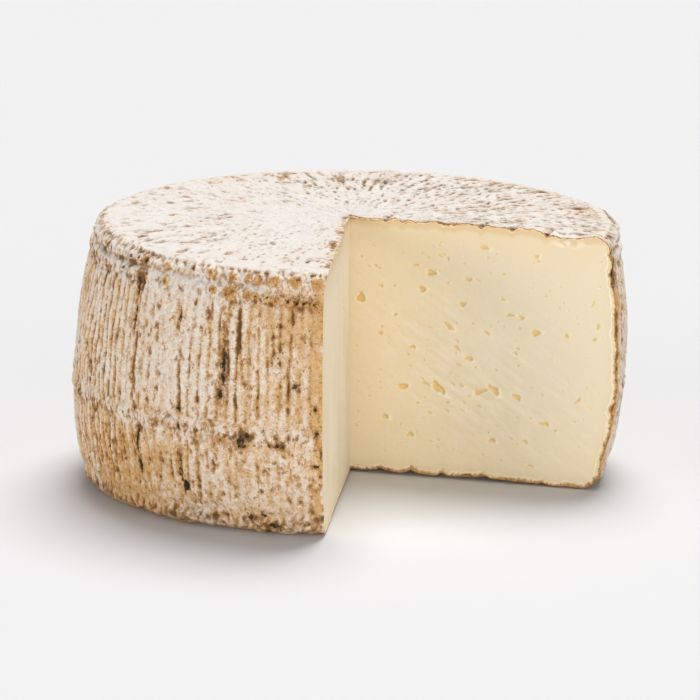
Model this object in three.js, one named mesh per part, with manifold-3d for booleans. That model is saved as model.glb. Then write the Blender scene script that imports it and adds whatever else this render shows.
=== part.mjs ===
// A wheel of basket-moulded ewe's-milk cheese with one wedge cut out of it.
//
// Millimetres, +Z up. The origin is the middle of the flat underside, on the wheel's axis, where the
// two cut faces meet. The wheel is one solid: an outline of radius against height is carried round
// the axis from one cut to the other, and the rind's relief is added square to that outline.
// Azimuths are in degrees, anticlockwise from +X as seen from above.

import * as THREE from 'three';
import Module from 'manifold-3d';
import { mergeVertices } from 'three/addons/utils/BufferGeometryUtils.js';

const wasm = await Module();
wasm.setup();

// ---- The wheel's outline ----
const HEIGHT = 94.9;            // at the axis
const BELLY_RADIUS = 99.6;      // the widest part of the side
const BELLY_HEIGHT = 40;
const TOP_DRAW_IN = 6.7;        // how far the side draws in from the belly up to the full height
const FOOT_DRAW_IN = 6.2;       // and from the belly down to the underside
const SHOULDER_HEIGHT = 89.5;   // the side ends here and the rounded top edge starts
const TOP_EDGE_RADIUS = 88.5;   // the top face ends here
const TOP_EDGE_DROP = 0.9;      // how much lower that edge is than the middle
const FOOT_HEIGHT = 6;          // the rounded bottom edge ends here
const FOOT_RADIUS = 88.4;       // and meets the underside here

// ---- What makes this wheel uneven ----
const LEAN_TOP = 2.7;           // the top sits this far towards +X
const LEAN_FOOT = -2.1;         // and the underside this far towards -X
const TILT_X = -0.015;          // slope of the top face along X
const TILT_Y = 0.02;            // and along Y
const SWELL = { azimuth: 18, spread: 15, size: 1.3 };   // a fuller stretch of the top edge

// ---- The cut ----
const CUT_START = -17.6;        // azimuth of the broad face beside the gap
const CUT_END = 264.6;          // azimuth of the other face

// ---- The rind's relief, pressed in by the basket ----
const REEDS = 128;              // upright ribs round what is left of the side
const REED_RIDGE = 0.35;        // a rib's crest and the groove beside it, from the mean surface
const REED_GROOVE = 0.55;
const KNOB_SIZE = 0.6;          // knobs in the rows round the top edge, and bumps round the foot
const GROOVE_DEPTH = 0.8;       // the plain grooves between the rows
const BELT_SIZE = 0.7;          // the twisted band round the lower half
const TOP_RIM_SIZE = 0.5;       // the thin rim that borders the top face
const PIT_DEPTH = 0.7;          // the dashes in the top face
const PIT_COLUMNS = 84;         // radial lines of them, and of the points between them
const PIT_ROW_STEP = 6.2;       // spacing of the dashes along a radius
const PLAIN_RADIUS = 30;        // inside this the top face is nearly smooth

// Open cracks that follow the grooves: azimuth, and the heights where each starts and ends.
const CRACK_DEPTH = 1.5;
const CRACKS = [
  { azimuth: 218.6, bottom: 44, top: 81 },
  { azimuth: 232.9, bottom: 44, top: 81 },
  { azimuth: 243.6, bottom: 50, top: 81 },
  { azimuth: 247.2, bottom: 57, top: 77 },
  { azimuth: 222.1, bottom: 11, top: 34 },
  { azimuth: 216.4, bottom: 20, top: 34 },
];

// ---- The underside ----
const LAND_INNER_RADIUS = 72;   // the wheel rests on the flat ring from here to the foot
const RECESS = 0.7;             // the middle is this much higher

// ---- Eyes in the paste, on the broad face: radius, height, length, breadth and slope ----
const EYES = [
  [4, 65.1, 2.5, 4, 0], [30.1, 75.5, 3.3, 2.3, 0], [27.1, 69.3, 3, 2, 0], [42.1, 64.7, 2.3, 1.9, 0],
  [50.3, 85.9, 3, 1.5, 0], [37, 56.2, 4, 1.8, -30], [44.7, 44.9, 2.8, 1.6, 0],
  [19.8, 32.9, 3.4, 2.2, 0], [33.3, 33.3, 5.3, 2.5, -40], [48.7, 33, 5.3, 1.7, 15],
  [54.3, 34, 4, 2.6, -35], [62.7, 31.8, 2.8, 1.9, -30], [59.9, 61.8, 2.8, 1.3, 0],
  [69.5, 55.9, 3.7, 2, 0], [13, 21.3, 3.3, 2, 0], [53.3, 15.3, 2.8, 1.7, 0],
  [72.9, 22.9, 2.8, 1.6, 0], [85.2, 32.3, 3, 1.3, 40], [23.5, 48, 2.1, 1.7, 0],
  [80.7, 55.5, 1.9, 1.5, 0],
];
const SMALL_EYES = 8;           // on the other face

// ---- Creases in the top face, and notches under it, where the knife broke the rind's edge ----
const CREASE_RADII = [13, 20, 48.5, 60, 72.5];
const CREASE = { length: 21, width: 1.8, depth: 1.1, azimuth: 66 };
const NOTCH_RADII = [12, 23.5, 35.5, 52, 74];
const NOTCH = { length: 9, width: 2.4, depth: 1.3 };
const CHIP = { radius: 80, length: 15, width: 2.6, depth: 2.2 };

// Every draw is seeded, so the wheel is the same each time.
let seed = 20;
function random() {
  seed = (seed * 16807) % 2147483647;
  return seed / 2147483647;
}

function randomList(length) {
  return Array.from({ length }, random);
}

const radians = THREE.MathUtils.degToRad;
const START = radians(CUT_START);
const SPAN = radians(CUT_END - CUT_START);
const COLUMNS = 2 * REEDS;              // columns of points: one on each rib, one in each groove
const KNOB_COLUMNS = 3;                 // a knob's crest and its two flanks

// Radius of the side at a height, on one curve above the belly and another below it.
function sideRadius(z) {
  if (z > BELLY_HEIGHT) {
    return BELLY_RADIUS - TOP_DRAW_IN * ((z - BELLY_HEIGHT) / (HEIGHT - BELLY_HEIGHT)) ** 2;
  }
  return BELLY_RADIUS - FOOT_DRAW_IN * ((BELLY_HEIGHT - z) / BELLY_HEIGHT) ** 2;
}

// The same with the rounded top and bottom edges, which are quarter ellipses.
function outlineRadius(z) {
  if (z > SHOULDER_HEIGHT) {
    const rise = (z - SHOULDER_HEIGHT) / (topHeight(TOP_EDGE_RADIUS) - SHOULDER_HEIGHT);
    const reach = sideRadius(SHOULDER_HEIGHT) - TOP_EDGE_RADIUS;
    return TOP_EDGE_RADIUS + reach * Math.sqrt(Math.max(0, 1 - rise ** 2));
  }
  if (z < FOOT_HEIGHT) {
    const drop = (FOOT_HEIGHT - z) / FOOT_HEIGHT;
    const reach = sideRadius(FOOT_HEIGHT) - FOOT_RADIUS;
    return FOOT_RADIUS + reach * Math.sqrt(Math.max(0, 1 - drop ** 2));
  }
  return sideRadius(z);
}

// Height of the top face at a radius: nearly flat, rolling off a little at its edge.
function topHeight(r) {
  return HEIGHT - TOP_EDGE_DROP * (r / TOP_EDGE_RADIUS) ** 4;
}

// A point of the wheel from radius, height and azimuth: the wheel leans and its top slopes, and both
// keep every point in its own upright plane through the axis, so the cut faces stay flat.
function place(r, z, azimuth) {
  const lean = LEAN_FOOT + (LEAN_TOP - LEAN_FOOT) * z / HEIGHT;
  const leaned = r * (1 + lean * Math.cos(azimuth) / BELLY_RADIUS);
  const x = leaned * Math.cos(azimuth);
  const y = leaned * Math.sin(azimuth);
  const lift = (TILT_X * x + TILT_Y * y) * (z / HEIGHT) ** 2;
  return [x, y, z + lift];
}

// ---- Relief of each kind of row, for a column of the grid ----
const reedSizes = randomList(COLUMNS + 1).map((value) => 0.6 + 0.8 * value);
const knobSizes = randomList(COLUMNS).map((value) => 0.7 + 0.6 * value);

// A crack opens the groove nearest to its azimuth, between its two heights.
function crackDepth(column, z) {
  const step = (CUT_END - CUT_START) / COLUMNS;
  const azimuth = CUT_START + step * column;
  const open = CRACKS.some((crack) => (
    Math.abs(azimuth - crack.azimuth) < step && z >= crack.bottom && z <= crack.top));
  return open ? CRACK_DEPTH : 0;
}

function reeds(column, z) {
  const size = reedSizes[column];
  return column % 2 ? -REED_GROOVE * size - crackDepth(column, z) : REED_RIDGE * size;
}

function knobs(column) {
  const size = knobSizes[Math.floor(column / KNOB_COLUMNS)];
  return KNOB_SIZE * size * Math.cos(2 * Math.PI * (column % KNOB_COLUMNS - 1) / KNOB_COLUMNS);
}

function belt(column) {
  return BELT_SIZE * (0.4 + reedSizes[column] * (column % 2 ? -0.6 : 0.6));
}

function groove() {
  return -GROOVE_DEPTH;
}

// The rows of relief up the side, from the foot to the rim of the top face.
const SIDE_ROWS = [
  { height: 2.2, relief: knobs },
  { height: 6.2, relief: groove },
  { height: 10, relief: reeds },
  { height: 31.5, relief: reeds },
  { height: 33, relief: groove },
  { height: 35.8, relief: belt },
  { height: 38.6, relief: groove },
  { height: 41, relief: reeds },
  { height: 60, relief: reeds },
  { height: 79.5, relief: reeds },
  { height: 81.8, relief: groove },
  { height: 84.7, relief: knobs },
  { height: 87.4, relief: groove },
  { height: 90.2, relief: knobs },
];

// ---- Rings of points ----
const points = [];

// A ring is a list of point numbers, evenly spaced from one cut face to the other.
function ring(columns, shape) {
  return Array.from({ length: columns + 1 }, (_, column) => {
    const azimuth = START + SPAN * column / columns;
    const { r, z } = shape(column, azimuth);
    points.push(place(r, z, azimuth));
    return points.length - 1;
  });
}

// A ring on the side, pushed out square to the outline by its row's relief and by the swell.
function sideRing({ height, relief }) {
  const step = 0.2;
  const change = outlineRadius(height - step) - outlineRadius(height + step);
  const normal = new THREE.Vector2(2 * step, change).normalize();
  return ring(COLUMNS, (column, azimuth) => {
    const turn = (THREE.MathUtils.radToDeg(azimuth) - SWELL.azimuth) / SWELL.spread;
    const share = THREE.MathUtils.smoothstep(height, SHOULDER_HEIGHT - 8, SHOULDER_HEIGHT);
    const push = relief(column, height) + share * SWELL.size * Math.exp(-(turn ** 2));
    return { r: outlineRadius(height) + push * normal.x, z: Math.max(height + push * normal.y, 0.4) };
  });
}

// A ring on the top face: every second point is a pit, and the next ring's pits lie between them.
function topRing(columns, r, index) {
  return ring(columns, (column) => {
    const pit = (column + index) % 2 && column > 0 && column < columns;
    const share = THREE.MathUtils.smoothstep(r, PLAIN_RADIUS / 2, PLAIN_RADIUS * 1.5);
    return { r, z: topHeight(r) - (pit ? PIT_DEPTH * share * (0.4 + 0.8 * random()) : 0) };
  });
}

// Columns on the top face at a radius: fewer towards the middle, so the dashes keep their spacing.
function topColumns(r) {
  if (r > 44) {
    return PIT_COLUMNS;
  }
  return r > 18 ? PIT_COLUMNS / 2 : 20;
}

const bottomCentre = points.push(place(0, RECESS, 0)) - 1;
const rings = [];
rings.push(ring(20, () => ({ r: 24, z: RECESS })));
rings.push(ring(PIT_COLUMNS / 2, (column) => ({ r: 48, z: RECESS + (column % 2 ? 0.5 : 0) })));
rings.push(ring(PIT_COLUMNS / 2, (column) => ({ r: LAND_INNER_RADIUS - 6, z: RECESS })));
rings.push(ring(PIT_COLUMNS / 2, () => ({ r: LAND_INNER_RADIUS, z: 0 })));
rings.push(ring(COLUMNS, () => ({ r: FOOT_RADIUS, z: 0 })));
SIDE_ROWS.forEach((row) => rings.push(sideRing(row)));
rings.push(ring(COLUMNS, () => ({ r: TOP_EDGE_RADIUS, z: topHeight(TOP_EDGE_RADIUS) + TOP_RIM_SIZE })));
for (let r = TOP_EDGE_RADIUS - 3; r > 8; r -= PIT_ROW_STEP) {
  rings.push(topRing(topColumns(r), r, rings.length));
}
const topCentre = points.push(place(0, HEIGHT, 0)) - 1;

// ---- Triangles ----
const triangles = [];

// Join two rings that may hold different numbers of points.
function stitch(lower, upper) {
  let i = 0;
  let j = 0;
  while (i < lower.length - 1 || j < upper.length - 1) {
    const nextLower = (i + 1) / (lower.length - 1);
    const nextUpper = (j + 1) / (upper.length - 1);
    if (nextLower <= nextUpper) {
      triangles.push(lower[i], lower[i + 1], upper[j]);
      i += 1;
    } else {
      triangles.push(lower[i], upper[j + 1], upper[j]);
      j += 1;
    }
  }
}

for (let index = 1; index < rings.length; index += 1) {
  stitch(rings[index - 1], rings[index]);
}
rings[0].slice(1).forEach((point, index) => triangles.push(bottomCentre, point, rings[0][index]));
const lastRing = rings.at(-1);
lastRing.slice(1).forEach((point, index) => triangles.push(lastRing[index], point, topCentre));

// The two cut faces, each bounded by the axis and by one end of every ring.
for (const end of [0, -1]) {
  const border = [bottomCentre, ...rings.map((numbers) => numbers.at(end)), topCentre];
  const contour = border.map((point) => {
    const [x, y, z] = points[point];
    return new THREE.Vector2(Math.hypot(x, y), z);
  });
  for (const [a, b, c] of THREE.ShapeUtils.triangulateShape(contour, [])) {
    triangles.push(border[a], ...(end === 0 ? [border[b], border[c]] : [border[c], border[b]]));
  }
}

// ---- Cutting ----
function toManifold(geometry) {
  const bare = geometry.clone();
  bare.deleteAttribute('normal');
  bare.deleteAttribute('uv');
  const merged = mergeVertices(bare);
  return new wasm.Manifold(new wasm.Mesh({
    numProp: 3,
    vertProperties: new Float32Array(merged.attributes.position.array),
    triVerts: new Uint32Array(merged.index.array),
  }));
}

// A small faceted body of a given size, turned by Euler angles and moved to a point of the wheel.
function cutter(shape, size, turn, spot) {
  const position = new THREE.Vector3(...spot);
  const rotation = new THREE.Quaternion().setFromEuler(new THREE.Euler(...turn, 'ZYX'));
  const scale = new THREE.Vector3(...size.map((value) => value / 2));
  return toManifold(shape.clone().applyMatrix4(new THREE.Matrix4().compose(position, rotation, scale)));
}

const body = new THREE.BufferGeometry();
body.setAttribute('position', new THREE.Float32BufferAttribute(points.flat(), 3));
body.setIndex(triangles);
let wheel = toManifold(body);

const bubble = new THREE.IcosahedronGeometry(1, 0);
const sliver = new THREE.OctahedronGeometry(1, 0);

// Eyes open on the broad face, each a bubble that the knife went through.
for (const [r, z, length, breadth, slope] of EYES) {
  const turn = [0, -radians(slope), START];
  wheel = wheel.subtract(cutter(bubble, [length, breadth * 0.8, breadth], turn, place(r, z, START)));
}

// The other face has a few small ones.
for (let index = 0; index < SMALL_EYES; index += 1) {
  const r = 14 + 72 * (index + 0.5 * random()) / SMALL_EYES;
  const z = 12 + 72 * random();
  const size = 1.4 + 1.4 * random();
  const spot = place(r, z, START + SPAN);
  wheel = wheel.subtract(cutter(bubble, [size, size, size * 0.8], [0, 0, START + SPAN], spot));
}

// Creases run back from the cut edge across the top face.
for (const r of CREASE_RADII) {
  const spot = place(r, topHeight(r), START);
  spot[0] += CREASE.length * 0.4 * Math.cos(radians(CREASE.azimuth));
  spot[1] += CREASE.length * 0.4 * Math.sin(radians(CREASE.azimuth));
  const size = [CREASE.length, CREASE.width, CREASE.depth * 2];
  wheel = wheel.subtract(cutter(sliver, size, [0, 0, radians(CREASE.azimuth)], spot));
}

// Notches in the bottom edge of the broad face, and the chipped stretch of its top edge.
for (const r of NOTCH_RADII) {
  const size = [NOTCH.length, NOTCH.width, NOTCH.depth * 2];
  wheel = wheel.subtract(cutter(sliver, size, [0, 0, START], place(r, 0, START)));
}
const chipSpot = place(CHIP.radius, topHeight(CHIP.radius), START);
wheel = wheel.subtract(cutter(sliver, [CHIP.length, CHIP.width, CHIP.depth * 2], [0, 0, START], chipSpot));

// ---- The finished wheel ----
const solid = wheel.getMesh();
const geometry = new THREE.BufferGeometry();
geometry.setAttribute('position', new THREE.BufferAttribute(solid.vertProperties, 3));
geometry.setIndex(new THREE.BufferAttribute(solid.triVerts, 1));
geometry.computeVertexNormals();

const crust = new THREE.MeshStandardMaterial({ color: 0xd8c6ae, roughness: 0.85, metalness: 0 });
const mesh = new THREE.Mesh(geometry, crust);
mesh.name = 'cheese_wheel';

const group = new THREE.Group();
group.add(mesh);
export default group;
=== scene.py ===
import bpy
import numpy as np
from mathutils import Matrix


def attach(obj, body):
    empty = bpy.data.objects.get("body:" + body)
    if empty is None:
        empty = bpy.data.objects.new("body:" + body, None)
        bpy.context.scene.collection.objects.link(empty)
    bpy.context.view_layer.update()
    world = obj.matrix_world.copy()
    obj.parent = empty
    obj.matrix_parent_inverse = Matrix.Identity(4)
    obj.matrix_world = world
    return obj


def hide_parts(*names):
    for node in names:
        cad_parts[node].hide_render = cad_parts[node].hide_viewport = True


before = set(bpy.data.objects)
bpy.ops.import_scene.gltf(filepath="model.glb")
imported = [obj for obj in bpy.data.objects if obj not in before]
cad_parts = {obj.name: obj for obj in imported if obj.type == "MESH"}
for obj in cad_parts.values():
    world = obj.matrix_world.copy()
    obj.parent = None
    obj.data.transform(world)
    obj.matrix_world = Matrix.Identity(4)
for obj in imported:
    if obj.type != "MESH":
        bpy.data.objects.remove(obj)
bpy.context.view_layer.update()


# ---- Camera, floor and light ----
# The wheel stands alone on a pale matt floor, seen from a little above with a long lens. A wide soft
# light comes from above and behind, three weaker ones fill in low from the left, the front and the
# right, and the room is dim, brightest overhead.

AIM = np.array([0.0, 0.0, 0.0451])
CAMERA_DISTANCE = 1.45
CAMERA_ELEVATION = np.radians(12.45)
LENS_PIXELS = 4000
FRAME_PIXELS = 700

camera_data = bpy.data.cameras.new("camera")
camera_data.sensor_width = 36
camera_data.lens = 36 * LENS_PIXELS / FRAME_PIXELS
camera_data.clip_start = 0.05
camera_data.clip_end = 50
camera = bpy.data.objects.new("camera", camera_data)
camera.location = AIM + CAMERA_DISTANCE * np.array(
    [0, -np.cos(CAMERA_ELEVATION), np.sin(CAMERA_ELEVATION)]
)
camera.rotation_euler = (np.pi / 2 - CAMERA_ELEVATION, 0, 0)
bpy.context.collection.objects.link(camera)
bpy.context.scene.camera = camera
bpy.context.scene.view_settings.view_transform = "Standard"

FLOOR_HALF = 6.0
FLOOR_DROP = 0.0003
FLOOR_COLOUR = (0.669, 0.663, 0.663, 1)

floor_corners = [(x * FLOOR_HALF, y * FLOOR_HALF) for x, y in ((-1, -1), (1, -1), (1, 1), (-1, 1))]
floor_mesh = bpy.data.meshes.new("floor")
floor_mesh.from_pydata([(x, y, -FLOOR_DROP) for x, y in floor_corners], [], [(0, 1, 2, 3)])
floor = bpy.data.objects.new("floor", floor_mesh)
bpy.context.collection.objects.link(floor)
floor_paint = bpy.data.materials.new("pale_floor")
floor_paint.use_nodes = True
floor_paint.node_tree.nodes["Principled BSDF"].inputs["Base Color"].default_value = FLOOR_COLOUR
floor_paint.node_tree.nodes["Principled BSDF"].inputs["Roughness"].default_value = 0.9
floor_paint.node_tree.nodes["Principled BSDF"].inputs["Specular IOR Level"].default_value = 0.1
floor_mesh.materials.append(floor_paint)

ROOM_LEVEL = 0.08
ROOM_OVERHEAD = 0.25
ROOM_COLOUR = (0.96, 0.99, 1.04, 1)

world = bpy.data.worlds.new("white_room")
world.use_nodes = True
room = world.node_tree
upward = room.nodes.new("ShaderNodeSeparateXYZ")
level = room.nodes.new("ShaderNodeMath")
level.operation = "MULTIPLY_ADD"
level.inputs[1].default_value = ROOM_OVERHEAD
level.inputs[2].default_value = ROOM_LEVEL
room.links.new(room.nodes.new("ShaderNodeTexCoord").outputs["Generated"], upward.inputs[0])
room.links.new(upward.outputs["Z"], level.inputs[0])
room.links.new(level.outputs[0], room.nodes["Background"].inputs["Strength"])
room.nodes["Background"].inputs["Color"].default_value = ROOM_COLOUR
bpy.context.scene.world = world


def sun(name, toward, strength, spread):
    """A light from far away, from the direction of toward, spread over so many degrees."""
    data = bpy.data.lights.new(name, "SUN")
    data.energy = strength
    data.angle = np.radians(spread)
    x, y, z = toward
    made = bpy.data.objects.new(name, data)
    made.rotation_euler = (np.arctan2(np.hypot(x, y), z), 0, np.arctan2(x, -y))
    bpy.context.collection.objects.link(made)


sun("key", (0.13, 0.45, 1.0), 3.27, 36)
sun("left_fill", (-1.0, -0.7, 0.12), 1.52, 34)
sun("front_fill", (0.0, -1.0, 0.12), 1.2, 32)
sun("right_fill", (0.9, -0.8, 0.13), 1.15, 34)


# ---- Rind: the side ----
# The wheel's side is dry skin about 1 mm thick, moulded by a basket into upright reeds, two rows of
# knobs at the top and bands round the lower half and the foot. White bloom covers its high places, its
# grooves stay brown, and some have opened into dark cracks.

MM = 0.001
HEIGHT = 94.9
BELLY_RADIUS = 99.6
BELLY_HEIGHT = 40.0
TOP_DRAW_IN = 6.7
FOOT_DRAW_IN = 6.2
SHOULDER_HEIGHT = 89.5
TOP_EDGE_RADIUS = 88.5
TOP_EDGE_DROP = 0.9
FOOT_HEIGHT = 6.0
FOOT_RADIUS = 88.4
LEAN_TOP = 2.7
LEAN_FOOT = -2.1
TILT_X = -0.015
TILT_Y = 0.02
SWELL_AZIMUTH = 18.0
SWELL_SPREAD = 15.0
SWELL_SIZE = 1.3
CUT_START = -17.6
CUT_END = 264.6
LIP_SIZE = 1.3
LIP_SPREAD = 4.0

REEDS = 128
COLUMNS_PER_REED = 9
COLUMNS = COLUMNS_PER_REED * REEDS
SIDE_ROWS = 216
LEVEL = 1e-9
LATTICE = 8192
LATTICE_X = 73856093
LATTICE_Y = 19349663
NOISE_GAIN = 1.25


def smooth(x, low, high):
    """0 below low and 1 above high, and between them 3t^2 - 2t^3."""
    t = np.clip((x - low) / (high - low), 0, 1)
    return t * t * (3 - 2 * t)


def bell(x, spread):
    """exp(-(x / spread)^2)."""
    return np.exp(-((x / spread) ** 2))


def noise(x, y, size, seed, octaves=1, stretch=1.0):
    """Smooth random values from about -1 to 1 over a plane: a lattice of random numbers, size apart
    in x and size * stretch in y, blended by 6t^5 - 15t^4 + 10t^3. Each octave halves both."""
    table = np.random.default_rng(seed).uniform(-1, 1, LATTICE)
    x, y = np.broadcast_arrays(x, y)
    total, weight = np.zeros(x.shape), 0.0
    for octave in range(octaves):
        scale = 2.0**octave / size
        px, py = x * scale + 37.7 * octave, y * scale / stretch + 11.3 * octave
        ix, iy = np.floor(px).astype(np.int64), np.floor(py).astype(np.int64)
        fx, fy = px - ix, py - iy
        fx, fy = (f * f * f * (f * (6 * f - 15) + 10) for f in (fx, fy))
        corner = [
            table[((ix + a) * LATTICE_X ^ (iy + b) * LATTICE_Y) & (LATTICE - 1)]
            for b in (0, 1)
            for a in (0, 1)
        ]
        low = corner[0] + fx * (corner[1] - corner[0])
        high = corner[2] + fx * (corner[3] - corner[2])
        total += (low + fy * (high - low)) / 2**octave
        weight += 0.5**octave
    return total / weight * NOISE_GAIN


def place(r, z, azimuth):
    """A point in metres from radius and height in mm and azimuth in degrees: the wheel leans along
    X in proportion to height, its top slopes, by an amount that grows as height squared, its top
    edge swells out over one stretch, and the top of the left cut curls over by a ragged lip."""
    fuller = bell((azimuth + 180) % 360 - 180 - SWELL_AZIMUTH, SWELL_SPREAD)
    r = r + SWELL_SIZE * fuller * smooth(z, SHOULDER_HEIGHT - 8, SHOULDER_HEIGHT) * smooth(r, 60, 88)
    lip = smooth(azimuth, CUT_END - LIP_SPREAD, CUT_END) * smooth(z, 86, 94) * smooth(r, 15, 45)
    lip = lip * LIP_SIZE * (1 + 0.35 * noise(r + z, 0 * r, 3.5, 16, 3))
    a = np.radians(azimuth) + lip / np.maximum(r, 1)
    lean = LEAN_FOOT + (LEAN_TOP - LEAN_FOOT) * z / HEIGHT
    leaned = r * (1 + lean * np.cos(a) / BELLY_RADIUS)
    x, y = leaned * np.cos(a), leaned * np.sin(a)
    lift = (TILT_X * x + TILT_Y * y) * (z / HEIGHT) ** 2
    return MM * np.stack(np.broadcast_arrays(x, y, z + lift), -1)


def side_radius(z):
    """The belly's radius less a draw-in that grows as the square of the way up, or down, from it."""
    above = TOP_DRAW_IN * ((z - BELLY_HEIGHT) / (HEIGHT - BELLY_HEIGHT)) ** 2
    below = FOOT_DRAW_IN * ((BELLY_HEIGHT - z) / BELLY_HEIGHT) ** 2
    return BELLY_RADIUS - np.where(z > BELLY_HEIGHT, above, below)


def top_height(r):
    """The height at the axis less a drop that grows as the fourth power of radius."""
    return HEIGHT - TOP_EDGE_DROP * (r / TOP_EDGE_RADIUS) ** 4


def side_outline(rows):
    """Radius, height and outward normal at evenly spaced places from foot to rim: a quarter ellipse,
    the belly curve and a quarter ellipse, joined and divided by length of arc."""
    turn = np.linspace(0, np.pi / 2, 200)
    foot_reach = side_radius(FOOT_HEIGHT) - FOOT_RADIUS
    rim_reach = side_radius(SHOULDER_HEIGHT) - TOP_EDGE_RADIUS
    rim_rise = top_height(TOP_EDGE_RADIUS) - SHOULDER_HEIGHT
    straight = np.linspace(FOOT_HEIGHT, SHOULDER_HEIGHT, 1600)[1:-1]
    r = [FOOT_RADIUS + foot_reach * np.sin(turn), side_radius(straight)]
    z = [FOOT_HEIGHT * (1 - np.cos(turn)), straight]
    r = np.concatenate([*r, TOP_EDGE_RADIUS + rim_reach * np.cos(turn)])
    z = np.concatenate([*z, SHOULDER_HEIGHT + rim_rise * np.sin(turn)])
    way = np.concatenate([[0], np.cumsum(np.hypot(np.diff(r), np.diff(z)))])
    even = np.linspace(0, way[-1], rows + 1)
    r, z = np.interp(even, way, r), np.interp(even, way, z)
    along = np.stack([np.gradient(r), np.gradient(z)])
    along /= np.hypot(*along)
    along[:, 0], along[:, -1] = (1, 0), (-1, 0)
    return even, r, z, along[1], -along[0]


def stitch(a, b):
    """Triangles that fill the strip between two runs of points with any numbers of points, taking
    the next point of whichever run is less far along, and of a where they are level. Triangles with
    a repeated point are left out."""
    at_a, at_b = np.linspace(0, 1, len(a))[1:], np.linspace(0, 1, len(b))[1:]
    across_b = b[np.searchsorted(at_b, at_a - LEVEL)]
    across_a = a[np.searchsorted(at_a, at_b + LEVEL, side="right")]
    made = [np.stack([a[:-1], a[1:], across_b], -1), np.stack([across_a, b[1:], b[:-1]], -1)]
    made = np.concatenate(made)
    ok = (made[:, 0] != made[:, 1]) & (made[:, 1] != made[:, 2]) & (made[:, 2] != made[:, 0])
    return made[ok]


def grid_normals(points):
    """Unit normals of a grid of points, along (next column) x (next row)."""
    across, up = np.gradient(points, axis=1), np.gradient(points, axis=0)
    normal = np.cross(across, up)
    return normal / np.maximum(np.linalg.norm(normal, axis=-1, keepdims=True), 1e-15)


class Solid:
    """Collects a closed mesh: blocks of points with their painted fields, and faces by kind."""

    def __init__(self, *fields):
        self.points, self.normals, self.faces = [], [], []
        self.values = {name: [] for name in fields}
        self.count = 0

    def add(self, points, normals=None, **values):
        """Adds a block of points and gives back their numbers in the same layout."""
        shape = points.shape[:-1]
        self.points.append(points.reshape(-1, 3))
        normals = np.zeros(points.shape) if normals is None else normals
        self.normals.append(normals.reshape(-1, 3))
        for name, blocks in self.values.items():
            value = np.broadcast_to(values.get(name, 0.0), shape)
            blocks.append(value.reshape(-1))
        first = self.count
        self.count += self.points[-1].shape[0]
        return np.arange(first, self.count).reshape(shape)

    def quads(self, grid, material=0, group=0):
        """Faces of a grid of point numbers. They face along (next column) x (next row). group is 0
        where they are hidden and another number on each surface that shows."""
        corners = [grid[:-1, :-1], grid[:-1, 1:], grid[1:, 1:], grid[1:, :-1]]
        self.faces.append((np.stack(corners, -1).reshape(-1, 4), material, group))

    def strip(self, a, b, group=0):
        self.faces.append((stitch(a, b), 0, group))

    def finish(self, name, materials, flip=False):
        """Makes the object, its faces turned over if flip. Where points were given with normals, the
        surfaces that show are shaded by them, so that pieces that meet look like one."""
        faces = [f[:, ::-1] if flip else f for f, material, group in self.faces]
        sizes = np.concatenate([np.full(len(f), f.shape[1]) for f in faces])
        corners = np.concatenate([f.reshape(-1) for f in faces]).astype(np.int32)
        kinds = [np.tile(kind[1:], (len(f), 1)) for f, kind in zip(faces, self.faces)]
        material, group = np.concatenate(kinds).T.astype(np.int32)
        mesh = bpy.data.meshes.new(name)
        mesh.vertices.add(self.count)
        mesh.loops.add(len(corners))
        mesh.polygons.add(len(sizes))
        mesh.vertices.foreach_set("co", np.concatenate(self.points).astype(np.float32).ravel())
        mesh.loops.foreach_set("vertex_index", corners)
        mesh.polygons.foreach_set("loop_start", np.concatenate([[0], np.cumsum(sizes)[:-1]]))
        mesh.polygons.foreach_set("material_index", material)
        mesh.polygons.foreach_set("use_smooth", np.ones(len(sizes), bool))
        mesh.update(calc_edges=True)
        for field, values in self.values.items():
            layer = mesh.attributes.new(field, "FLOAT", "POINT")
            layer.data.foreach_set("value", np.concatenate(values).astype(np.float32))
        edge = np.empty(len(corners), np.int32)
        mesh.loops.foreach_get("edge_index", edge)
        kind = np.repeat(10 * group + material, sizes)
        low, high = np.full(len(mesh.edges), 99), np.full(len(mesh.edges), -1)
        np.minimum.at(low, edge, kind)
        np.maximum.at(high, edge, kind)
        sharp = mesh.attributes.new("sharp_edge", "BOOLEAN", "EDGE")
        sharp.data.foreach_set("value", low != high)
        shows = np.repeat(group, sizes)[:, None] > 0
        normals = np.where(shows, np.concatenate(self.normals)[corners], 0)
        if normals.any():
            mesh.normals_split_custom_set(normals.tolist())
        for paint in materials:
            mesh.materials.append(paint)
        made = bpy.data.objects.new(name, mesh)
        bpy.context.collection.objects.link(made)
        return made


def stamp(fields, azimuth, way, radius, spot, reach, shape):
    """Adds one small mark to several fields of a grid: shape takes the offsets in mm round and along
    from spot, an azimuth and a way, and gives back for each field what to add."""
    rows = slice(*np.searchsorted(way, [spot[1] - reach, spot[1] + reach]))
    middle = max(np.interp(spot[1], way, radius), 1.0)
    span = np.degrees(reach / middle)
    columns = slice(*np.searchsorted(azimuth, [spot[0] - span, spot[0] + span]))
    across = np.radians(azimuth[columns] - spot[0])[None, :] * radius[rows, None]
    along = (way[rows] - spot[1])[:, None]
    for name, value in shape(across, along).items():
        fields[name][rows, columns] += value


def mark(fields, amount, **weights):
    """Adds amount, times its weight, to each field that is named."""
    for name, weight in weights.items():
        fields[name] += weight * amount


# The bloom field holds real bloom, and also painted light on the tops of bumps and on the shoulder.
# The field for hollows holds brown dirt, and also painted shade in hollows and under what stands out.
SKIN_FIELDS = ("bloom", "cavity", "dark", "ochre", "grey")
azimuths = np.linspace(CUT_START, CUT_END, COLUMNS + 1)

side_way, side_r, side_z, side_nr, side_nz = side_outline(SIDE_ROWS)
A, Z = np.meshgrid(azimuths, side_z)
U, V = np.radians(A) * BELLY_RADIUS, np.broadcast_to(side_way[:, None], A.shape)

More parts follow.
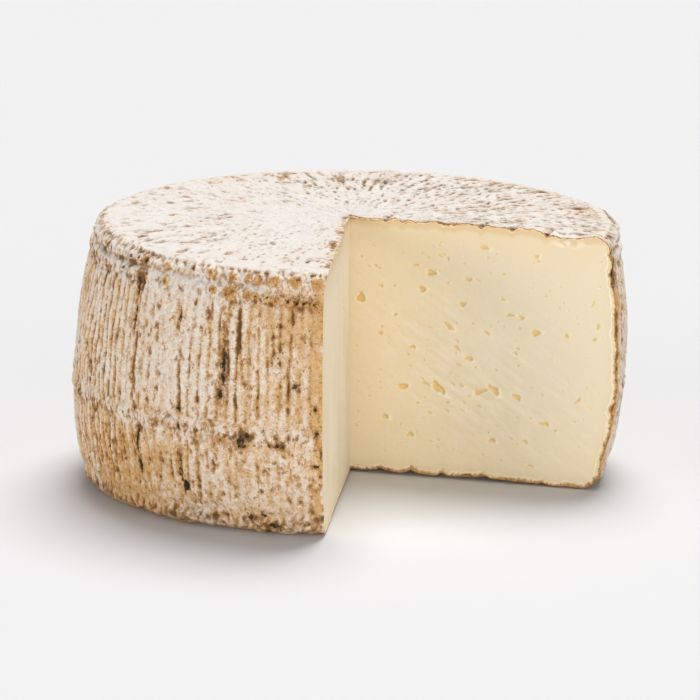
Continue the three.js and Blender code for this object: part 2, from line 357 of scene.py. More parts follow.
RIM_LINE_HEIGHT = 92.5
RIM_LINE_DEPTH = 0.14
KNOB_ROW_LOW = 85.3
KNOB_ROW_LOW_DIP = 2.8
KNOB_ROW_HIGH = 90.3
REED_RIDGE = 0.12
REED_GROOVE = 0.6
BELT_HEIGHT = 35.6
BELT_SLOPE = 1.0
FOOT_BAND_HEIGHT = 4.0
PORES = 3600


def way_at(height):
    return np.interp(height, side_z, side_way)


def skin_lumps(azimuth, r, z):
    """The skin's fine unevenness, in mm, the same on both sides of every join between pieces."""
    x, y = r * np.cos(np.radians(azimuth)), r * np.sin(np.radians(azimuth))
    x, y = x + 0.6 * z, y - 0.7 * z
    return 0.14 * noise(x, y, 2.2, 11, 2) + 0.2 * noise(x, y, 5, 12) + 0.25 * noise(x, y, 11, 13)


draw = np.random.default_rng(5)
fields = {name: np.zeros(A.shape) for name in ("relief", *SKIN_FIELDS)}

# Bloom lies in patches: thick over the upper middle of the front, thin towards the left cut and on the
# lower left, and worn off beside the cuts, where the skin is ochre.
belt_centre = BELT_HEIGHT + BELT_SLOPE * np.cos(np.radians(A - 200) * 1.6)
off_belt = np.abs(Z - belt_centre)
upper, lower = smooth(Z, 38, 50), 1 - smooth(Z, 26, 34)
unseen = 1 - smooth(A, 165, 195)
fields["bloom"] += 0.46 + 0.22 * noise(U, V, 14, 21, 2) + 0.25 * unseen * noise(U, V, 45, 20)
fields["bloom"] += upper * (0.45 * bell(A - 232, 15) - 0.25 * bell(A - 259, 6))
fields["bloom"] += lower * (0.05 * smooth(A, 229, 245) - 0.32 * bell(A - 218, 13))
at_left = 1 - smooth(A, 214, 229)
fields["bloom"] += 0.14 * upper * at_left
fields["ochre"] += (0.8 * lower + 0.6 * upper) * bell(A - 213, 16)
# The bloom is thicker along the band, and from 79 mm up, partly real bloom between the knob rows and
# partly painted light on the shoulder.
fields["bloom"] += 0.16 * bell(off_belt, 3) + 0.5 * smooth(Z, 79, 84)
fields["bloom"] += (0.24 - 0.08 * lower) * noise(U, V, 2.4, 37, 2, stretch=2.2)
regular = 1 - smooth(A, 210, 221)
fields["bloom"] += 0.16 * regular * noise(U, V, 2.2, 38, 2, stretch=9)
beside_cut = bell(A - CUT_END, 2.0) + bell(A - CUT_START, 1.2)
beside_cut *= (0.85 + 0.8 * noise(U, V, 2.6, 47, 3, stretch=1.5)).clip(0, 1.2)
mark(fields, beside_cut, bloom=-0.75, ochre=0.8)
fields["bloom"] += 0.7 * bell(A - CUT_END, 0.5) * (0.6 + noise(U, V, 3, 44, 2))
fields["ochre"] += 0.45 * smooth(noise(U, V, 5, 19, 2, stretch=2), 0.1, 0.8)

# Reeds: a groove at each whole number of reed, a ridge between, both wandering a little. The grooves
# are broken into short runs, some of them deep and brown.
wander = 0.2 * noise(U, V, 5, 22, 3, stretch=4)
reed = (A - CUT_START) / (CUT_END - CUT_START) * REEDS + wander
groove_number = np.clip(np.round(reed).astype(int), 0, REEDS)
from_groove = np.abs(reed - groove_number)
strength = draw.uniform(0.1, 1.0, REEDS + 1) ** 1.2
calmer = 0.4 * regular + 0.4 * bell(A - 233, 13) + 0.3 * smooth(A, 247, 254)
strength = strength[groove_number] * (1 - calmer) + 0.5 * regular
broken = noise(groove_number * 7.0, V, 3.2, 23, 3, stretch=1.8)
strength = np.clip(strength * (0.8 + 0.3 * regular + 1.1 * broken), 0, 1.2)
in_reeds = smooth(off_belt, 3.2, 5.2) * smooth(Z, 8.5, 11) * (1 - smooth(Z, 79.5, 82.5))
in_reeds *= 1 - 0.55 * smooth(A, 234, 246) * (1 - smooth(Z, 30, 36))
groove = strength * bell(from_groove, 0.14 + 0.06 * noise(U, V, 2.2, 24, 2))
ridge = np.cos(2 * np.pi * (reed - 0.5))
fields["relief"] += in_reeds * (REED_RIDGE * (1 + 0.8 * regular) * ridge - REED_GROOVE * groove)
fields["cavity"] += in_reeds * groove * (1.2 - 0.25 * at_left + 0.6 * noise(U, V, 1.5, 32))
fields["bloom"] += in_reeds * ((0.1 + 0.16 * at_left) * ridge - 0.35 * groove)

# Curds of skin stand out everywhere, most on the lower part, with pits between them.
curds = noise(U, V, 2.1, 34, 2, stretch=1.25)
rough = 0.5 + 0.5 * (1 - smooth(Z, 32, 40)) + 0.2 * smooth(Z, 80, 84)
mark(fields, rough * curds, relief=0.26, bloom=0.17)
fields["cavity"] += 0.42 * rough * smooth(-curds, 0.25, 0.9)

# Plain hollows run round between the rows.
low_row = KNOB_ROW_LOW - KNOB_ROW_LOW_DIP * smooth(A, 243, 263)
for height, depth, width in ((low_row - 2.8, 0.2, 1.2), (87.6, 0.35, 1.0), (7.8, 0.3, 1.4)):
    fields["relief"] -= depth * bell(V - way_at(height), width)
fields["relief"] -= 0.35 * smooth(V, way_at(82), way_at(86))


def knob(radius, height, pit, tint):
    """A low dome of uneven outline with a pit near its middle: height * e^-(d / 0.85 radius)^2 less a
    narrow bell of depth pit and a shallow ring at its foot. Its face is bare and ochre by tint, with
    bloom round its foot, a painted highlight on its upper side and painted shade on its lower side."""
    aside = draw.uniform(-0.3, 0.3, 2) * radius
    seed = draw.integers(1000, 9000)

    def shape(across, along):
        d = np.hypot(across, along) * (1 + 0.22 * noise(across, along, 1.6, seed, 2))
        dome = np.exp(-((d / radius) ** 4))
        turned = noise(across, along, 0.8, seed + 1, 2)
        hole = bell(np.hypot(across - aside[0], along - aside[1]) * (1 + 0.5 * turned), 0.27 * radius)
        ring = bell(d - 1.25 * radius, 0.25 * radius)
        collar = bell(d - 1.05 * radius, 0.25 * radius)
        face = bell(d - 0.2 * radius, 0.4 * radius)
        # The upper side of the dome gets a painted highlight and its lower side painted shade.
        upper_highlight = dome * smooth(along / radius, 0.1, 0.9)
        shaded = dome * smooth(-along / radius, 0.1, 0.9)
        bare = tint * dome * (0.95 + 0.25 * turned)
        return {
            "relief": height * bell(d, 0.85 * radius) - pit * hole - 0.3 * ring,
            "cavity": pit * hole + 0.3 * tint * face + 0.25 * ring + 0.2 * shaded,
            "dark": 1.1 * pit * hole,
            "ochre": 1.4 * bare,
            "bloom": -1.2 * bare + 0.4 * collar + 0.9 * tint * upper_highlight,
        }

    return shape


# Knobs that stand out in the two rows below the rim: azimuth, radius, pit and tint. The rest are
# spaced before them. The lower row dips towards the left cut.
UPPER_KNOBS = [
    (220.6, 1.6, 0.9, 0.8), (224.0, 1.3, 0.5, 0.5), (227.2, 1.9, 0.2, 0.9), (231.0, 1.3, 0.7, 0.5),
    (234.6, 1.8, 0.8, 0.6), (239.6, 1.9, 0.4, 0.8), (244.6, 1.9, 0.6, 0.9), (248.6, 1.5, 0.3, 0.7),
    (250.7, 1.5, 0.4, 0.8), (254.2, 1.9, 0.3, 1.0), (258.8, 1.9, 0.6, 1.0), (262.9, 1.6, 0.3, 0.8),
]  # fmt: skip
LOWER_KNOBS = [
    (221.4, 1.6, 0.8, 0.7), (227.6, 2.0, 0.5, 0.9), (232.2, 1.4, 0.2, 0.3), (236.5, 1.2, 0.1, 0.2),
    (240.2, 1.8, 0.5, 0.8), (244.4, 2.7, 0.6, 1.0), (248.5, 2.1, 0.3, 0.9), (250.2, 1.3, 0.8, 0.6),
    (253.0, 1.5, 0.9, 0.5), (254.9, 1.4, 1.0, 0.4), (257.4, 1.4, 0.7, 0.4), (259.1, 1.6, 1.2, 0.4),
    (260.7, 1.6, 1.1, 0.4), (263.0, 1.5, 0.7, 0.7),
]  # fmt: skip


def knob_row(landmarks, pitch):
    """The landmarks, and before them knobs of random size down to the right cut, about a pitch apart."""
    before = landmarks[0][0] - np.cumsum(pitch * draw.uniform(0.75, 1.25, 200))
    sizes = draw.uniform((1.3, 0.2, 0.1), (2.0, 0.9, 0.65), (200, 3))
    random = [(azimuth, *size) for azimuth, size in zip(before, sizes) if azimuth > CUT_START]
    return [*random, *landmarks]


low_row_way = way_at(low_row[0])
for row, ways, pitch in ((UPPER_KNOBS, way_at(KNOB_ROW_HIGH), 3.8), (LOWER_KNOBS, low_row_way, 3.2)):
    for azimuth, size, pit, tint in knob_row(row, pitch):
        way = np.interp(azimuth, azimuths, np.broadcast_to(ways, azimuths.shape)) + draw.uniform(-0.4, 0.4)
        shape = knob(1.4 * size, draw.uniform(0.9, 1.3), pit, tint)
        stamp(fields, azimuths, side_way, side_r, (azimuth, way), 3 * size, shape)


# Towards the left cut bloom is thin between the rows, and the skin there is pitted.
worn = smooth(A, 249, 254) * bell(V - low_row_way - 0.8, 2.6)
fields["bloom"] -= 0.45 * worn
fields["cavity"] += 0.5 * worn * smooth(noise(U, V, 2.0, 42, 3), 0.0, 0.7)
fields["dark"] += 0.4 * worn * smooth(noise(U, V, 2.6, 43, 2), 0.35, 0.8)


# The band round the lower half, the rim and the foot are rows of small bumps.
def rope(height, pitch, width, slant, size, tint):
    """Bumps along a band, one each pitch: size * e^-(offset / width)^2 * (b - 0.35), where b goes from
    0 to 1 and back by the cosine of the way round plus slant * offset."""
    offset = V - height
    turn = U / pitch + slant * offset + 0.9 * noise(U, V, 7, 25, 2)
    bump = (0.5 + 0.5 * np.cos(2 * np.pi * turn)) * (0.75 + 0.5 * noise(U, V, 6, 26))
    band = bell(offset, width)
    fields["relief"] += size * band * (bump - 0.35)
    fields["cavity"] += 0.6 * band * smooth(1 - bump, 0.55, 1.0)
    fields["ochre"] += tint * band * bump
    fields["bloom"] += 0.15 * band * (bump - 0.4)


# The one round the lower half stands out least past the right cut, and a broken darker line runs
# along both its sides.
lower_relief = 1 - 0.6 * bell(A, 20)
rope(way_at(belt_centre), pitch=3.9, width=2.1, slant=0.0, size=0.6 * lower_relief, tint=0.4)
fields["relief"] += 0.4 * lower_relief * bell(off_belt, 2.4)
fields["bloom"] += 0.14 * bell(off_belt, 2.2)
darker_line = (0.7 + 0.9 * noise(U, V, 3, 49, 2)).clip(0, 1.3) * bell(off_belt - 3.6, 0.9)
fields["cavity"] += 0.22 * darker_line
fields["ochre"] += 0.5 * bell(off_belt, 2.6) * at_left

# The rim's bumps stand out most towards the left, with hollows between the rows there.
strands = 0.3 + 0.7 * (1 - smooth(A, 212, 226))
rope(way_at(92.6), pitch=3.4, width=1.8, slant=0.1, size=0.8 * strands, tint=0.3 * strands)
hollow_rows = ((88, 1.3, 1.0), (82.5, 1.6, 1.0), (93, 1.6, 0.8))
between = at_left * sum(share * bell(V - way_at(height), width) for height, width, share in hollow_rows)
between *= smooth(noise(U, V, 2.1, 48, 2, stretch=1.2), -0.05, 0.5)
mark(fields, between, cavity=0.75, bloom=-0.35, relief=-0.35)
fields["bloom"] += 0.35 * strands * bell(V - way_at(91.5), 4)
rope(way_at(FOOT_BAND_HEIGHT), pitch=4.4, width=2.6, slant=-0.12, size=0.35, tint=0.0)
fields["cavity"] += 0.4 * bell(V - way_at(1.2), 3.2) * (0.8 + 0.8 * noise(U, V, 3, 40, 2))
fields["grey"] += 0.45 * bell(V - way_at(5), 6) * (0.7 + 0.8 * noise(U, V, 9, 41, 2))

# Small knobs with dark pits sit on the band: azimuth, height, radius and pit.
BELT_KNOBS = [(233.8, 36.8, 1.3, 0.8), (238.4, 35.2, 1.9, 0.7), (243.2, 34.0, 1.6, 0.3)]
BELT_KNOBS += [(228.4, 37.0, 1.3, 0.3), (231.5, 36.8, 1.5, 0.2), (240.2, 38.3, 1.4, 0.3)]
BELT_KNOBS += [
    (draw.uniform(CUT_START, 215), BELT_HEIGHT + draw.uniform(-1.5, 1.5), 1.3, 0.3) for _ in range(40)
]
for azimuth, height, size, pit in BELT_KNOBS:
    shape = knob(1.2 * size, 0.3 + 0.45 * pit, pit, draw.uniform(0.5, 0.9))
    stamp(fields, azimuths, side_way, side_r, (azimuth, way_at(height)), 3 * size, shape)

# Cracks: azimuth at the top end, lower and upper height, half width, lean in degrees and how dark.
CRACKS = [
    (219.3, 64, 91, 0.6, 0.5, 1.0),
    (221.0, 79, 92, 0.8, -0.6, 0.6),
    (220.6, 44, 64, 0.4, 0.6, 0.5),
    (212.2, 56, 66, 0.45, 0.0, 0.5),
    (222.0, 12, 34, 0.6, 0.2, 1.3),
    (232.3, 66, 79, 0.7, 0.5, 1.1),
    (233.3, 42, 66, 0.45, 0.4, 0.6),
    (239.4, 68, 81, 0.5, 0.7, 0.3),
    (243.6, 60, 81, 0.6, 0.2, 0.5),
    (244.2, 44, 65, 1.2, -1.0, 1.3),
    (246.7, 64, 79, 0.65, 0.8, 0.6),
    (247.9, 52, 64, 0.5, 0.3, 0.3),
    (254.4, 60, 74, 0.55, 0.2, 0.6),
    (257.7, 48, 62, 0.3, 0.1, 0.3),
    (233.1, 11, 31, 1.1, 1.5, 1.8),
    (231.4, 16, 25, 0.5, 0.0, 1.0),
    (216.8, 20, 34, 0.45, 0.3, 0.9),
    (241.6, 20, 27, 0.5, 0.2, 0.3),
    (140.0, 50, 76, 0.5, 0.5, 0.8),
    (96.0, 14, 32, 0.5, 0.3, 0.8),
    (61.0, 47, 78, 0.55, -0.8, 0.9),
    (12.0, 55, 80, 0.45, 0.5, 0.6),
    (170.0, 45, 70, 0.45, 0.6, 0.7),
]
for azimuth, low, high, width, lean, darkness in CRACKS:
    share = np.clip((high - Z) / (high - low), 0, 1)
    centre = azimuth + lean * share + 0.3 * noise(V, V * 0 + azimuth, 5, 27, 3)
    ends = smooth(Z, low - 1, low + 3) * (1 - smooth(Z, high - 4, high + 1))
    off = np.radians(A - centre) * BELLY_RADIUS
    broken = (0.6 + 0.9 * noise(U, V, 2.4, 28, 3, stretch=1.6)).clip(0, 1.2)
    opened = ends * broken * bell(off, width * (1 + 0.5 * noise(V, V * 0 + azimuth, 2, 33, 2)))
    mark(fields, opened, relief=-0.5 - 0.8 * darkness, dark=darkness)
    fields["cavity"] += 0.9 * ends * (0.4 + 0.6 * broken) * bell(off, width * 1.6)
    fields["bloom"] -= 0.4 * ends * bell(off, width * 1.6)

# Dark spots of mould: azimuth, height, half width, half height.
SPOTS = [
    (247.7, 33.9, 1.7, 2.1),
    (249.4, 35.8, 1.4, 1.1),
    (248.4, 31.8, 0.7, 0.7),
    (255.4, 33.0, 1.1, 0.7),
    (256.7, 32.7, 0.6, 0.6),
    (202.0, 48.8, 0.7, 1.4),
    (206.2, 50.2, 0.6, 1.0),
    (221.6, 39.5, 0.9, 0.9),
    (233.6, 42.3, 1.1, 0.8),
    (247.5, 66.3, 0.8, 1.0),
    (256.0, 74.8, 0.5, 0.6),
    (259.2, 54.2, 1.0, 1.3),
    (263.2, 46.5, 0.6, 1.0),
    (263.6, 37.8, 0.7, 1.0),
    (263.3, 26.2, 1.0, 0.8),
    (233.9, 36.8, 0.6, 0.8),
    (248.9, 5.8, 1.4, 0.8),
    (240.9, 5.0, 0.9, 0.6),
    (252.1, 7.0, 0.8, 0.6),
    (254.0, 3.5, 1.8, 0.9),
    (120.0, 35.0, 1.9, 1.4),
    (75.0, 60.0, 1.2, 1.5),
    (40.0, 33.0, 1.6, 1.2),
    (5.0, 40.0, 1.3, 1.3),
    (-17.3, 81.0, 0.9, 4.0),
]
for azimuth, height, half_width, half_height in SPOTS:

    def spot_shape(across, along):
        d = np.hypot(across / half_width, along / half_height)
        edge = smooth(1.2 + 0.9 * noise(across + azimuth, along, 0.9, 31, 2) - d, 0, 0.9)
        strong = 0.55 + 0.4 * half_width
        return {"relief": -0.5 * edge, "dark": strong * edge, "cavity": 0.7 * bell(d, 1.8)}

    stamp(fields, azimuths, side_way, side_r, (azimuth, way_at(height)), 6, spot_shape)

# A grey haze of mould lies round the widest crack and at two places under the rim: azimuth, height,
# spread round and up, and strength.
HAZES = [(242.9, 60, 3.6, 15, 0.65), (236.0, 87, 6, 3, 0.52), (219.5, 80, 3, 8, 0.39)]
cloud = 0.6 + noise(U, V, 2.4, 29, 2)
for azimuth, height, wide, tall, strength in HAZES:
    haze = bell(np.radians(A - azimuth) * BELLY_RADIUS, wide) * bell(Z - height, tall)
    fields["grey"] += strength * haze * cloud

# Small brown pores are scattered over the whole side, more of them low down.
for _ in range(PORES):
    spot = (draw.uniform(CUT_START, CUT_END), side_way[-1] * draw.uniform(0.03, 0.9) ** 1.25)
    size = draw.uniform(0.35, 0.9)
    depth = draw.uniform(0.1, 0.4)
    darkness = max(0, draw.uniform(-5, 0.6))
    tall = draw.uniform(0.8, 1.8)

    def pore(across, along):
        hole = bell(np.hypot(across, along / tall), size)
        return {"relief": -depth * hole, "cavity": 2.0 * depth * hole, "dark": darkness * hole}

    stamp(fields, azimuths, side_way, side_r, spot, 3 * size * tall, pore)

# A thin broken line runs round above the knobs. Past it the skin is the top's own, plain and white,
# and the pattern fades out there and at the foot, where the side meets the other pieces.
line = bell(V - way_at(RIM_LINE_HEIGHT), 0.4) * (0.7 + 0.6 * noise(U, V, 3, 35, 2))
line *= 0.25 + 0.75 * smooth(A, 214, 228)
plain_from = way_at(RIM_LINE_HEIGHT) + 1.6 * (strands - 0.3)
plain = 1 - smooth(V, plain_from, plain_from + 1.3)
fields["relief"] += 0.1 * noise(U, V, 1.5, 30, 2, stretch=1.6)
fields["relief"] *= 1 - 0.65 * bell(A - CUT_START, 2) * smooth(Z, 76, 83)
fields["relief"] *= plain * smooth(V, 0, 3)
for name in ("cavity", "dark", "ochre", "grey"):
    fields[name] *= plain
# Bloom is kept thin, but from 80 mm up it may thicken, partly as painted light on the shoulder.
fields["bloom"] = np.minimum(fields["bloom"], 0.96 + 0.12 * smooth(Z, 80, 84))
edge_bloom = 1.3 - 0.12 * strands + 0.2 * noise(U, V, 3, 45, 3)
fields["bloom"] += (edge_bloom - fields["bloom"]) * (1 - plain)
fields["cavity"] += 0.5 * (1 - plain) * smooth(noise(U, V, 2.4, 46, 3), 0.05, 0.7)
mark(fields, line, relief=-RIM_LINE_DEPTH, cavity=0.14, bloom=-0.2)

# Painted shade darkens the undersides of what stands out, and painted light brightens its upper sides.
overhang = np.gradient(fields["relief"], side_way, axis=0)
fields["cavity"] += 0.35 * np.clip(overhang, 0, 1)
fields["bloom"] += 0.25 * np.clip(-overhang, 0, 1)
fields["relief"] += skin_lumps(A, side_r[:, None], Z)


border_r = side_r[:, None] + fields["relief"] * side_nr[:, None]
border_z = np.maximum(side_z[:, None] + fields["relief"] * side_nz[:, None], 0)


# ---- Rind: the top ----
# The top face is the same skin, printed with radial lines of short dashes by the mat it drained on.
# It is whitest at the front left and the middle, and grown over with white ridges at the back right.

TOP_ROWS = 188
DASH_LINES = 84
DASH_STEP = 4.6

top_r = np.linspace(TOP_EDGE_RADIUS, 0, TOP_ROWS + 1)
top_way = TOP_EDGE_RADIUS - top_r
A, R = np.meshgrid(azimuths, top_r)
X, Y = R * np.cos(np.radians(A)), R * np.sin(np.radians(A))
INWARD = np.broadcast_to(top_way[:, None], A.shape)
top = {name: np.zeros(A.shape) for name in ("relief", *SKIN_FIELDS)}

# How strongly the mat's print shows: most at the right and the back.
print_strength = 0.6 + 0.4 * bell((A + 180) % 360 - 180 - 40, 75) + 0.25 * noise(X, Y, 22, 50)
print_strength *= 0.4 + 0.6 * smooth(R, 14, 42)
top["bloom"] += 1.38 + 0.14 * noise(X, Y, 14, 51, 2) - 0.12 * print_strength
grit = noise(X, Y, 2.0, 53, 2)
top["relief"] += 0.25 * noise(X, Y, 5, 52, 2) + 0.14 * grit
top["bloom"] += 0.08 * grit

# Uneven dents and brown streaks lie along the radii, so they spread out like a fan. The dents come in
# patches, and the streaks are longest at the back.
FAN_RADIUS = 60.0
fan = np.radians(A) * FAN_RADIUS
patches = smooth(noise(X, Y, 13, 66, 2), -0.5, 0.5) * smooth(R, 8, 30)
patches = patches + 0.8 * bell(A - 190, 35) * smooth(R, 35, 60)
dents = smooth(noise(fan, R, 2.3, 65, 3, stretch=2.0), 0.0, 0.7) * (0.35 + 0.65 * patches)
streaks = smooth(noise(fan, R, 1.9, 67, 2, stretch=7), 0.1, 0.8) * smooth(R, 35, 60) * bell(A - 90, 60)
mark(top, dents, relief=-0.5, cavity=0.5, bloom=-0.2)
mark(top, streaks, relief=-0.3, cavity=0.4, bloom=-0.2)
top["bloom"] += 0.18 * noise(fan, R, 3, 68, 3, stretch=4)

# At the back and the right, valleys of bare brown skin lie along the radii between white ridges, and
# the skin is brown again along the rim.
at_back = bell((A + 180) % 360 - 180 - 30, 55) * smooth(R, 12, 42)
valleys = smooth(noise(fan, R, 4.6, 69, 3, stretch=4.5), -0.1, 0.55) * at_back
mark(top, valleys, relief=-0.45, cavity=0.28, bloom=-0.08)
top["cavity"] += 0.4 * valleys * noise(fan, R, 1.6, 71, 2, stretch=2)
by_rim = smooth(R, 76, 86) * (0.3 + 0.7 * at_back) * (1 - smooth(A, 150, 185))
top["cavity"] += by_rim * (0.2 + 0.3 * noise(fan, R, 2.2, 72, 2))
top["bloom"] -= 0.1 * by_rim


def dash(length, width, depth, slant, strong):
    """A short radial dent, 1 inside and 0 outside the ellipse that its ends and width give."""

    def shape(across, along):
        off = across + slant * along
        d = np.hypot(off / width, along / length)
        hole = 1 - smooth(d + 0.35 * noise(across, along, 0.9, 54), 0.35, 1.3)
        brow = bell(np.hypot((off - 1.6 * width) / width, along / length), 1.1)
        return {
            "relief": depth * (0.5 * brow - hole),
            "cavity": (0.38 + 0.22 * strong) * hole,
            "bloom": 0.2 * brow - 0.25 * hole,
        }

    return shape


for line in range(DASH_LINES):
    azimuth = CUT_START + (line + 0.5) * (CUT_END - CUT_START) / DASH_LINES
    nearest = 12 if line % 4 == 0 else 26 if line % 2 == 0 else 46
    radius = 85.5 - draw.uniform(0, DASH_STEP)
    while radius > nearest:
        turned = azimuth + draw.normal(0, 0.45) * 60 / radius
        row = np.searchsorted(top_way, TOP_EDGE_RADIUS - radius)
        strong = print_strength[row, min(np.searchsorted(azimuths, turned), COLUMNS)]
        if draw.uniform() < 0.45 + 0.5 * strong:
            length, width = draw.uniform(0.9, 2.3), draw.uniform(0.5, 0.95)
            depth = draw.uniform(0.3, 0.7) * (0.6 + 0.4 * strong)
            shape = dash(length, width, depth, draw.normal(0, 0.25), strong)
            stamp(top, azimuths, top_way, top_r, (turned, TOP_EDGE_RADIUS - radius), 4, shape)
        radius -= DASH_STEP * draw.uniform(0.75, 1.3)

# White ridges of bloom run along the radii at the back right: azimuth, near and far radius, strength.
RIDGES = [(75, 52, 80, 1.0), (79, 44, 76, 0.9), (84, 55, 82, 0.6), (66, 58, 83, 0.7), (58, 50, 78, 0.6)]
RIDGES += [(47, 56, 82, 0.7), (39, 50, 80, 0.6), (31, 55, 80, 0.6), (92, 50, 78, 0.7), (101, 56, 80, 0.5)]
for azimuth, near, far, strength in RIDGES:
    wiggle = 1.2 * noise(R, R * 0 + azimuth, 9, 55, 2)
    off = np.radians(A - azimuth) * R - wiggle
    run = strength * smooth(R, near - 6, near + 4) * (1 - smooth(R, far - 6, far + 3))
    run *= np.cos(np.radians(A - azimuth)).clip(0, 1)
    mark(top, run * bell(off, 0.9 + 0.4 * noise(X, Y, 4, 56)), relief=0.6, bloom=0.5)
    top["cavity"] += 0.45 * run * bell(off - 1.9, 0.8)

# Creases start at the right cut, each at its own radius, and run on side by side: radius, length and
# strength.
CREASES = [(12.4, 19, 0.8), (19.5, 8, 0.4), (34, 9, 0.35), (47.4, 14, 1.0), (58.6, 12, 0.8), (71, 12, 0.8)]
CREASE_AZIMUTH = 66.0
start = np.radians(CUT_START)
heading = np.radians(CREASE_AZIMUTH)
for radius, length, strength in CREASES:
    from_x, from_y = X - radius * np.cos(start), Y - radius * np.sin(start)
    along = from_x * np.cos(heading) + from_y * np.sin(heading)
    across = from_y * np.cos(heading) - from_x * np.sin(heading) + 0.9 * noise(along, 0 * along, 7, 57)
    run = strength * smooth(along, -2.5, 0) * (1 - smooth(along, 0.3 * length, length))
    near = 1 - smooth(along, 0, 5)
    top["relief"] -= 1.2 * run * bell(across, 0.75 + 0.5 * near)
    top["cavity"] += 0.8 * run * bell(across, 0.7 + 0.4 * near)
    top["dark"] += 0.9 * near * run * bell(across, 0.9)
    top["relief"] += 0.5 * run * bell(across + 2.4, 1.0)
    top["bloom"] += 0.5 * run * bell(across + 2.4, 1.2)

# An ochre pit lies near the middle, and the crust is chipped to white where the right cut meets the
# rim.
PIT = (227.8, 17.4)


def ochre_pit(across, along):
    d = np.hypot(across / 1.15, along / 0.8)
    hole = 1 - smooth(d, 0.5, 1.3)
    return {"relief": -0.7 * hole, "cavity": 0.6 * hole, "ochre": hole, "dark": 0.3 * bell(d, 0.5)}


stamp(top, azimuths, top_way, top_r, (PIT[0], TOP_EDGE_RADIUS - PIT[1]), 4, ochre_pit)
CHIP_RADIUS = 80.0
chipped = bell(R - CHIP_RADIUS, 6.5) * bell(np.radians(A - CUT_START) * R, 1.7)
mark(top, chipped, relief=-0.9, bloom=0.8)
top["cavity"] *= 1 - 0.9 * chipped

# The edge at the right cut is uneven. Tan crust shows along both cuts, in a wider and more broken band
# with brown spots at the left one.
top["relief"] += 0.75 * noise(R, 0 * R, 6.5, 73, 3) * bell(np.radians(A - CUT_START) * R, 2.5)
beside_cut = 0.7 * bell(np.radians(A - CUT_START) * R, 0.9)
at_left_cut = bell(np.radians(A - CUT_END) * R, 2.6)
beside_cut += at_left_cut * (0.65 + 0.9 * noise(X, Y, 2.6, 59, 3)).clip(0, 1.2)
top["cavity"] += 0.7 * at_left_cut * smooth(noise(X, Y, 2.2, 74, 2), 0.1, 0.6)
beside_cut *= 1 - chipped.clip(0, 1)
mark(top, beside_cut, bloom=-0.75, ochre=0.8)

# At the rim the pattern gives way to the side's own edge.
near_rim = smooth(INWARD, 0, 1.2)
for name in top:
    top[name] *= near_rim
for name in SKIN_FIELDS:
    top[name] += (1 - near_rim) * fields[name][-1]
top["relief"] += skin_lumps(A, R, top_height(R))
top_z = top_height(R) + top["relief"]


# ---- Rind: the underside ----
# The underside is plainer skin. The wheel stands on its outer ring, and the middle is 0.7 mm higher,
# so that only the ring touches the floor.

UNDER_ROWS = 60
LAND_INNER_RADIUS = 72.0
RECESS = 0.7

under_r = np.linspace(side_r[0], 0, UNDER_ROWS + 1)
A, R = np.meshgrid(azimuths, under_r)
X, Y = R * np.cos(np.radians(A)), R * np.sin(np.radians(A))
inner = smooth(side_r[0] - R, 0, 3)
under = {name: np.zeros(A.shape) for name in ("relief", *SKIN_FIELDS)}
under["relief"] += RECESS * (1 - smooth(R, LAND_INNER_RADIUS - 6, LAND_INNER_RADIUS))
under["relief"] += inner * (0.25 * noise(X, Y, 6, 60, 3) + 0.15 * noise(X, Y, 2.2, 61, 2))
under["bloom"] += 0.45 + 0.3 * noise(X, Y, 16, 62, 3)
under["cavity"] += 0.5 * smooth(noise(X, Y, 3.2, 63, 2), 0.2, 0.8)
for name in SKIN_FIELDS:
    under[name] = under[name] * inner + (1 - inner) * np.clip(fields[name][0], 0, 1)
under["relief"] -= skin_lumps(A, R, 0 * R) * (1 - inner)

# The knife tore the lower edge of the right cut: scallops between notches, at these radii.
NOTCHES = [12, 23.5, 35.5, 52, 74]
off_cut = np.radians(A - CUT_START) * R
notch = sum(bell(R - radius, 1.3) for radius in NOTCHES)
scallop = 0.3 * np.abs(np.sin(np.pi * R / 11.7 + 0.4 * noise(R, 0 * R, 9, 64)))
under["relief"] += inner * bell(off_cut, 2.2) * (1.1 * notch + 0.45 - scallop)
under["cavity"] += inner * bell(off_cut, 2.0) * (0.5 + 0.4 * notch)
under_z = np.maximum(under["relief"], 0)


# ---- Rind: its pieces ----
# The skin is made in six closed pieces that meet edge to edge, each with a hidden face 2.6 mm inside:
# the side and the top cut into equal stretches, and the underside. At both cuts the crust's own
# thickness shows, brown outside and cream inside, and creamier all through at the left one.

SIDE_PIECES = 3
TOP_PIECES = 2
SKIN = 2.6
CRUST = 1.05
CRUST_STEPS = 3
LEFT_CRUST_CREAM = 0.6
HIDDEN_MARGIN = 1.2
HIDDEN_STEP = 2.5
HIDDEN_ROW_STEP = 12
HIDDEN_RINGS = 12
TOP_THIN_FROM = 44.3
UNDER_THIN_FROM = 180.0
LEAST_RADIUS = 2.8


def painted(fields, span):
    """The fields that the skin's paint reads, kept from going below 0 or above 1.5."""
    return {name: np.clip(fields[name][:, span], 0, 1.5) for name in SKIN_FIELDS}


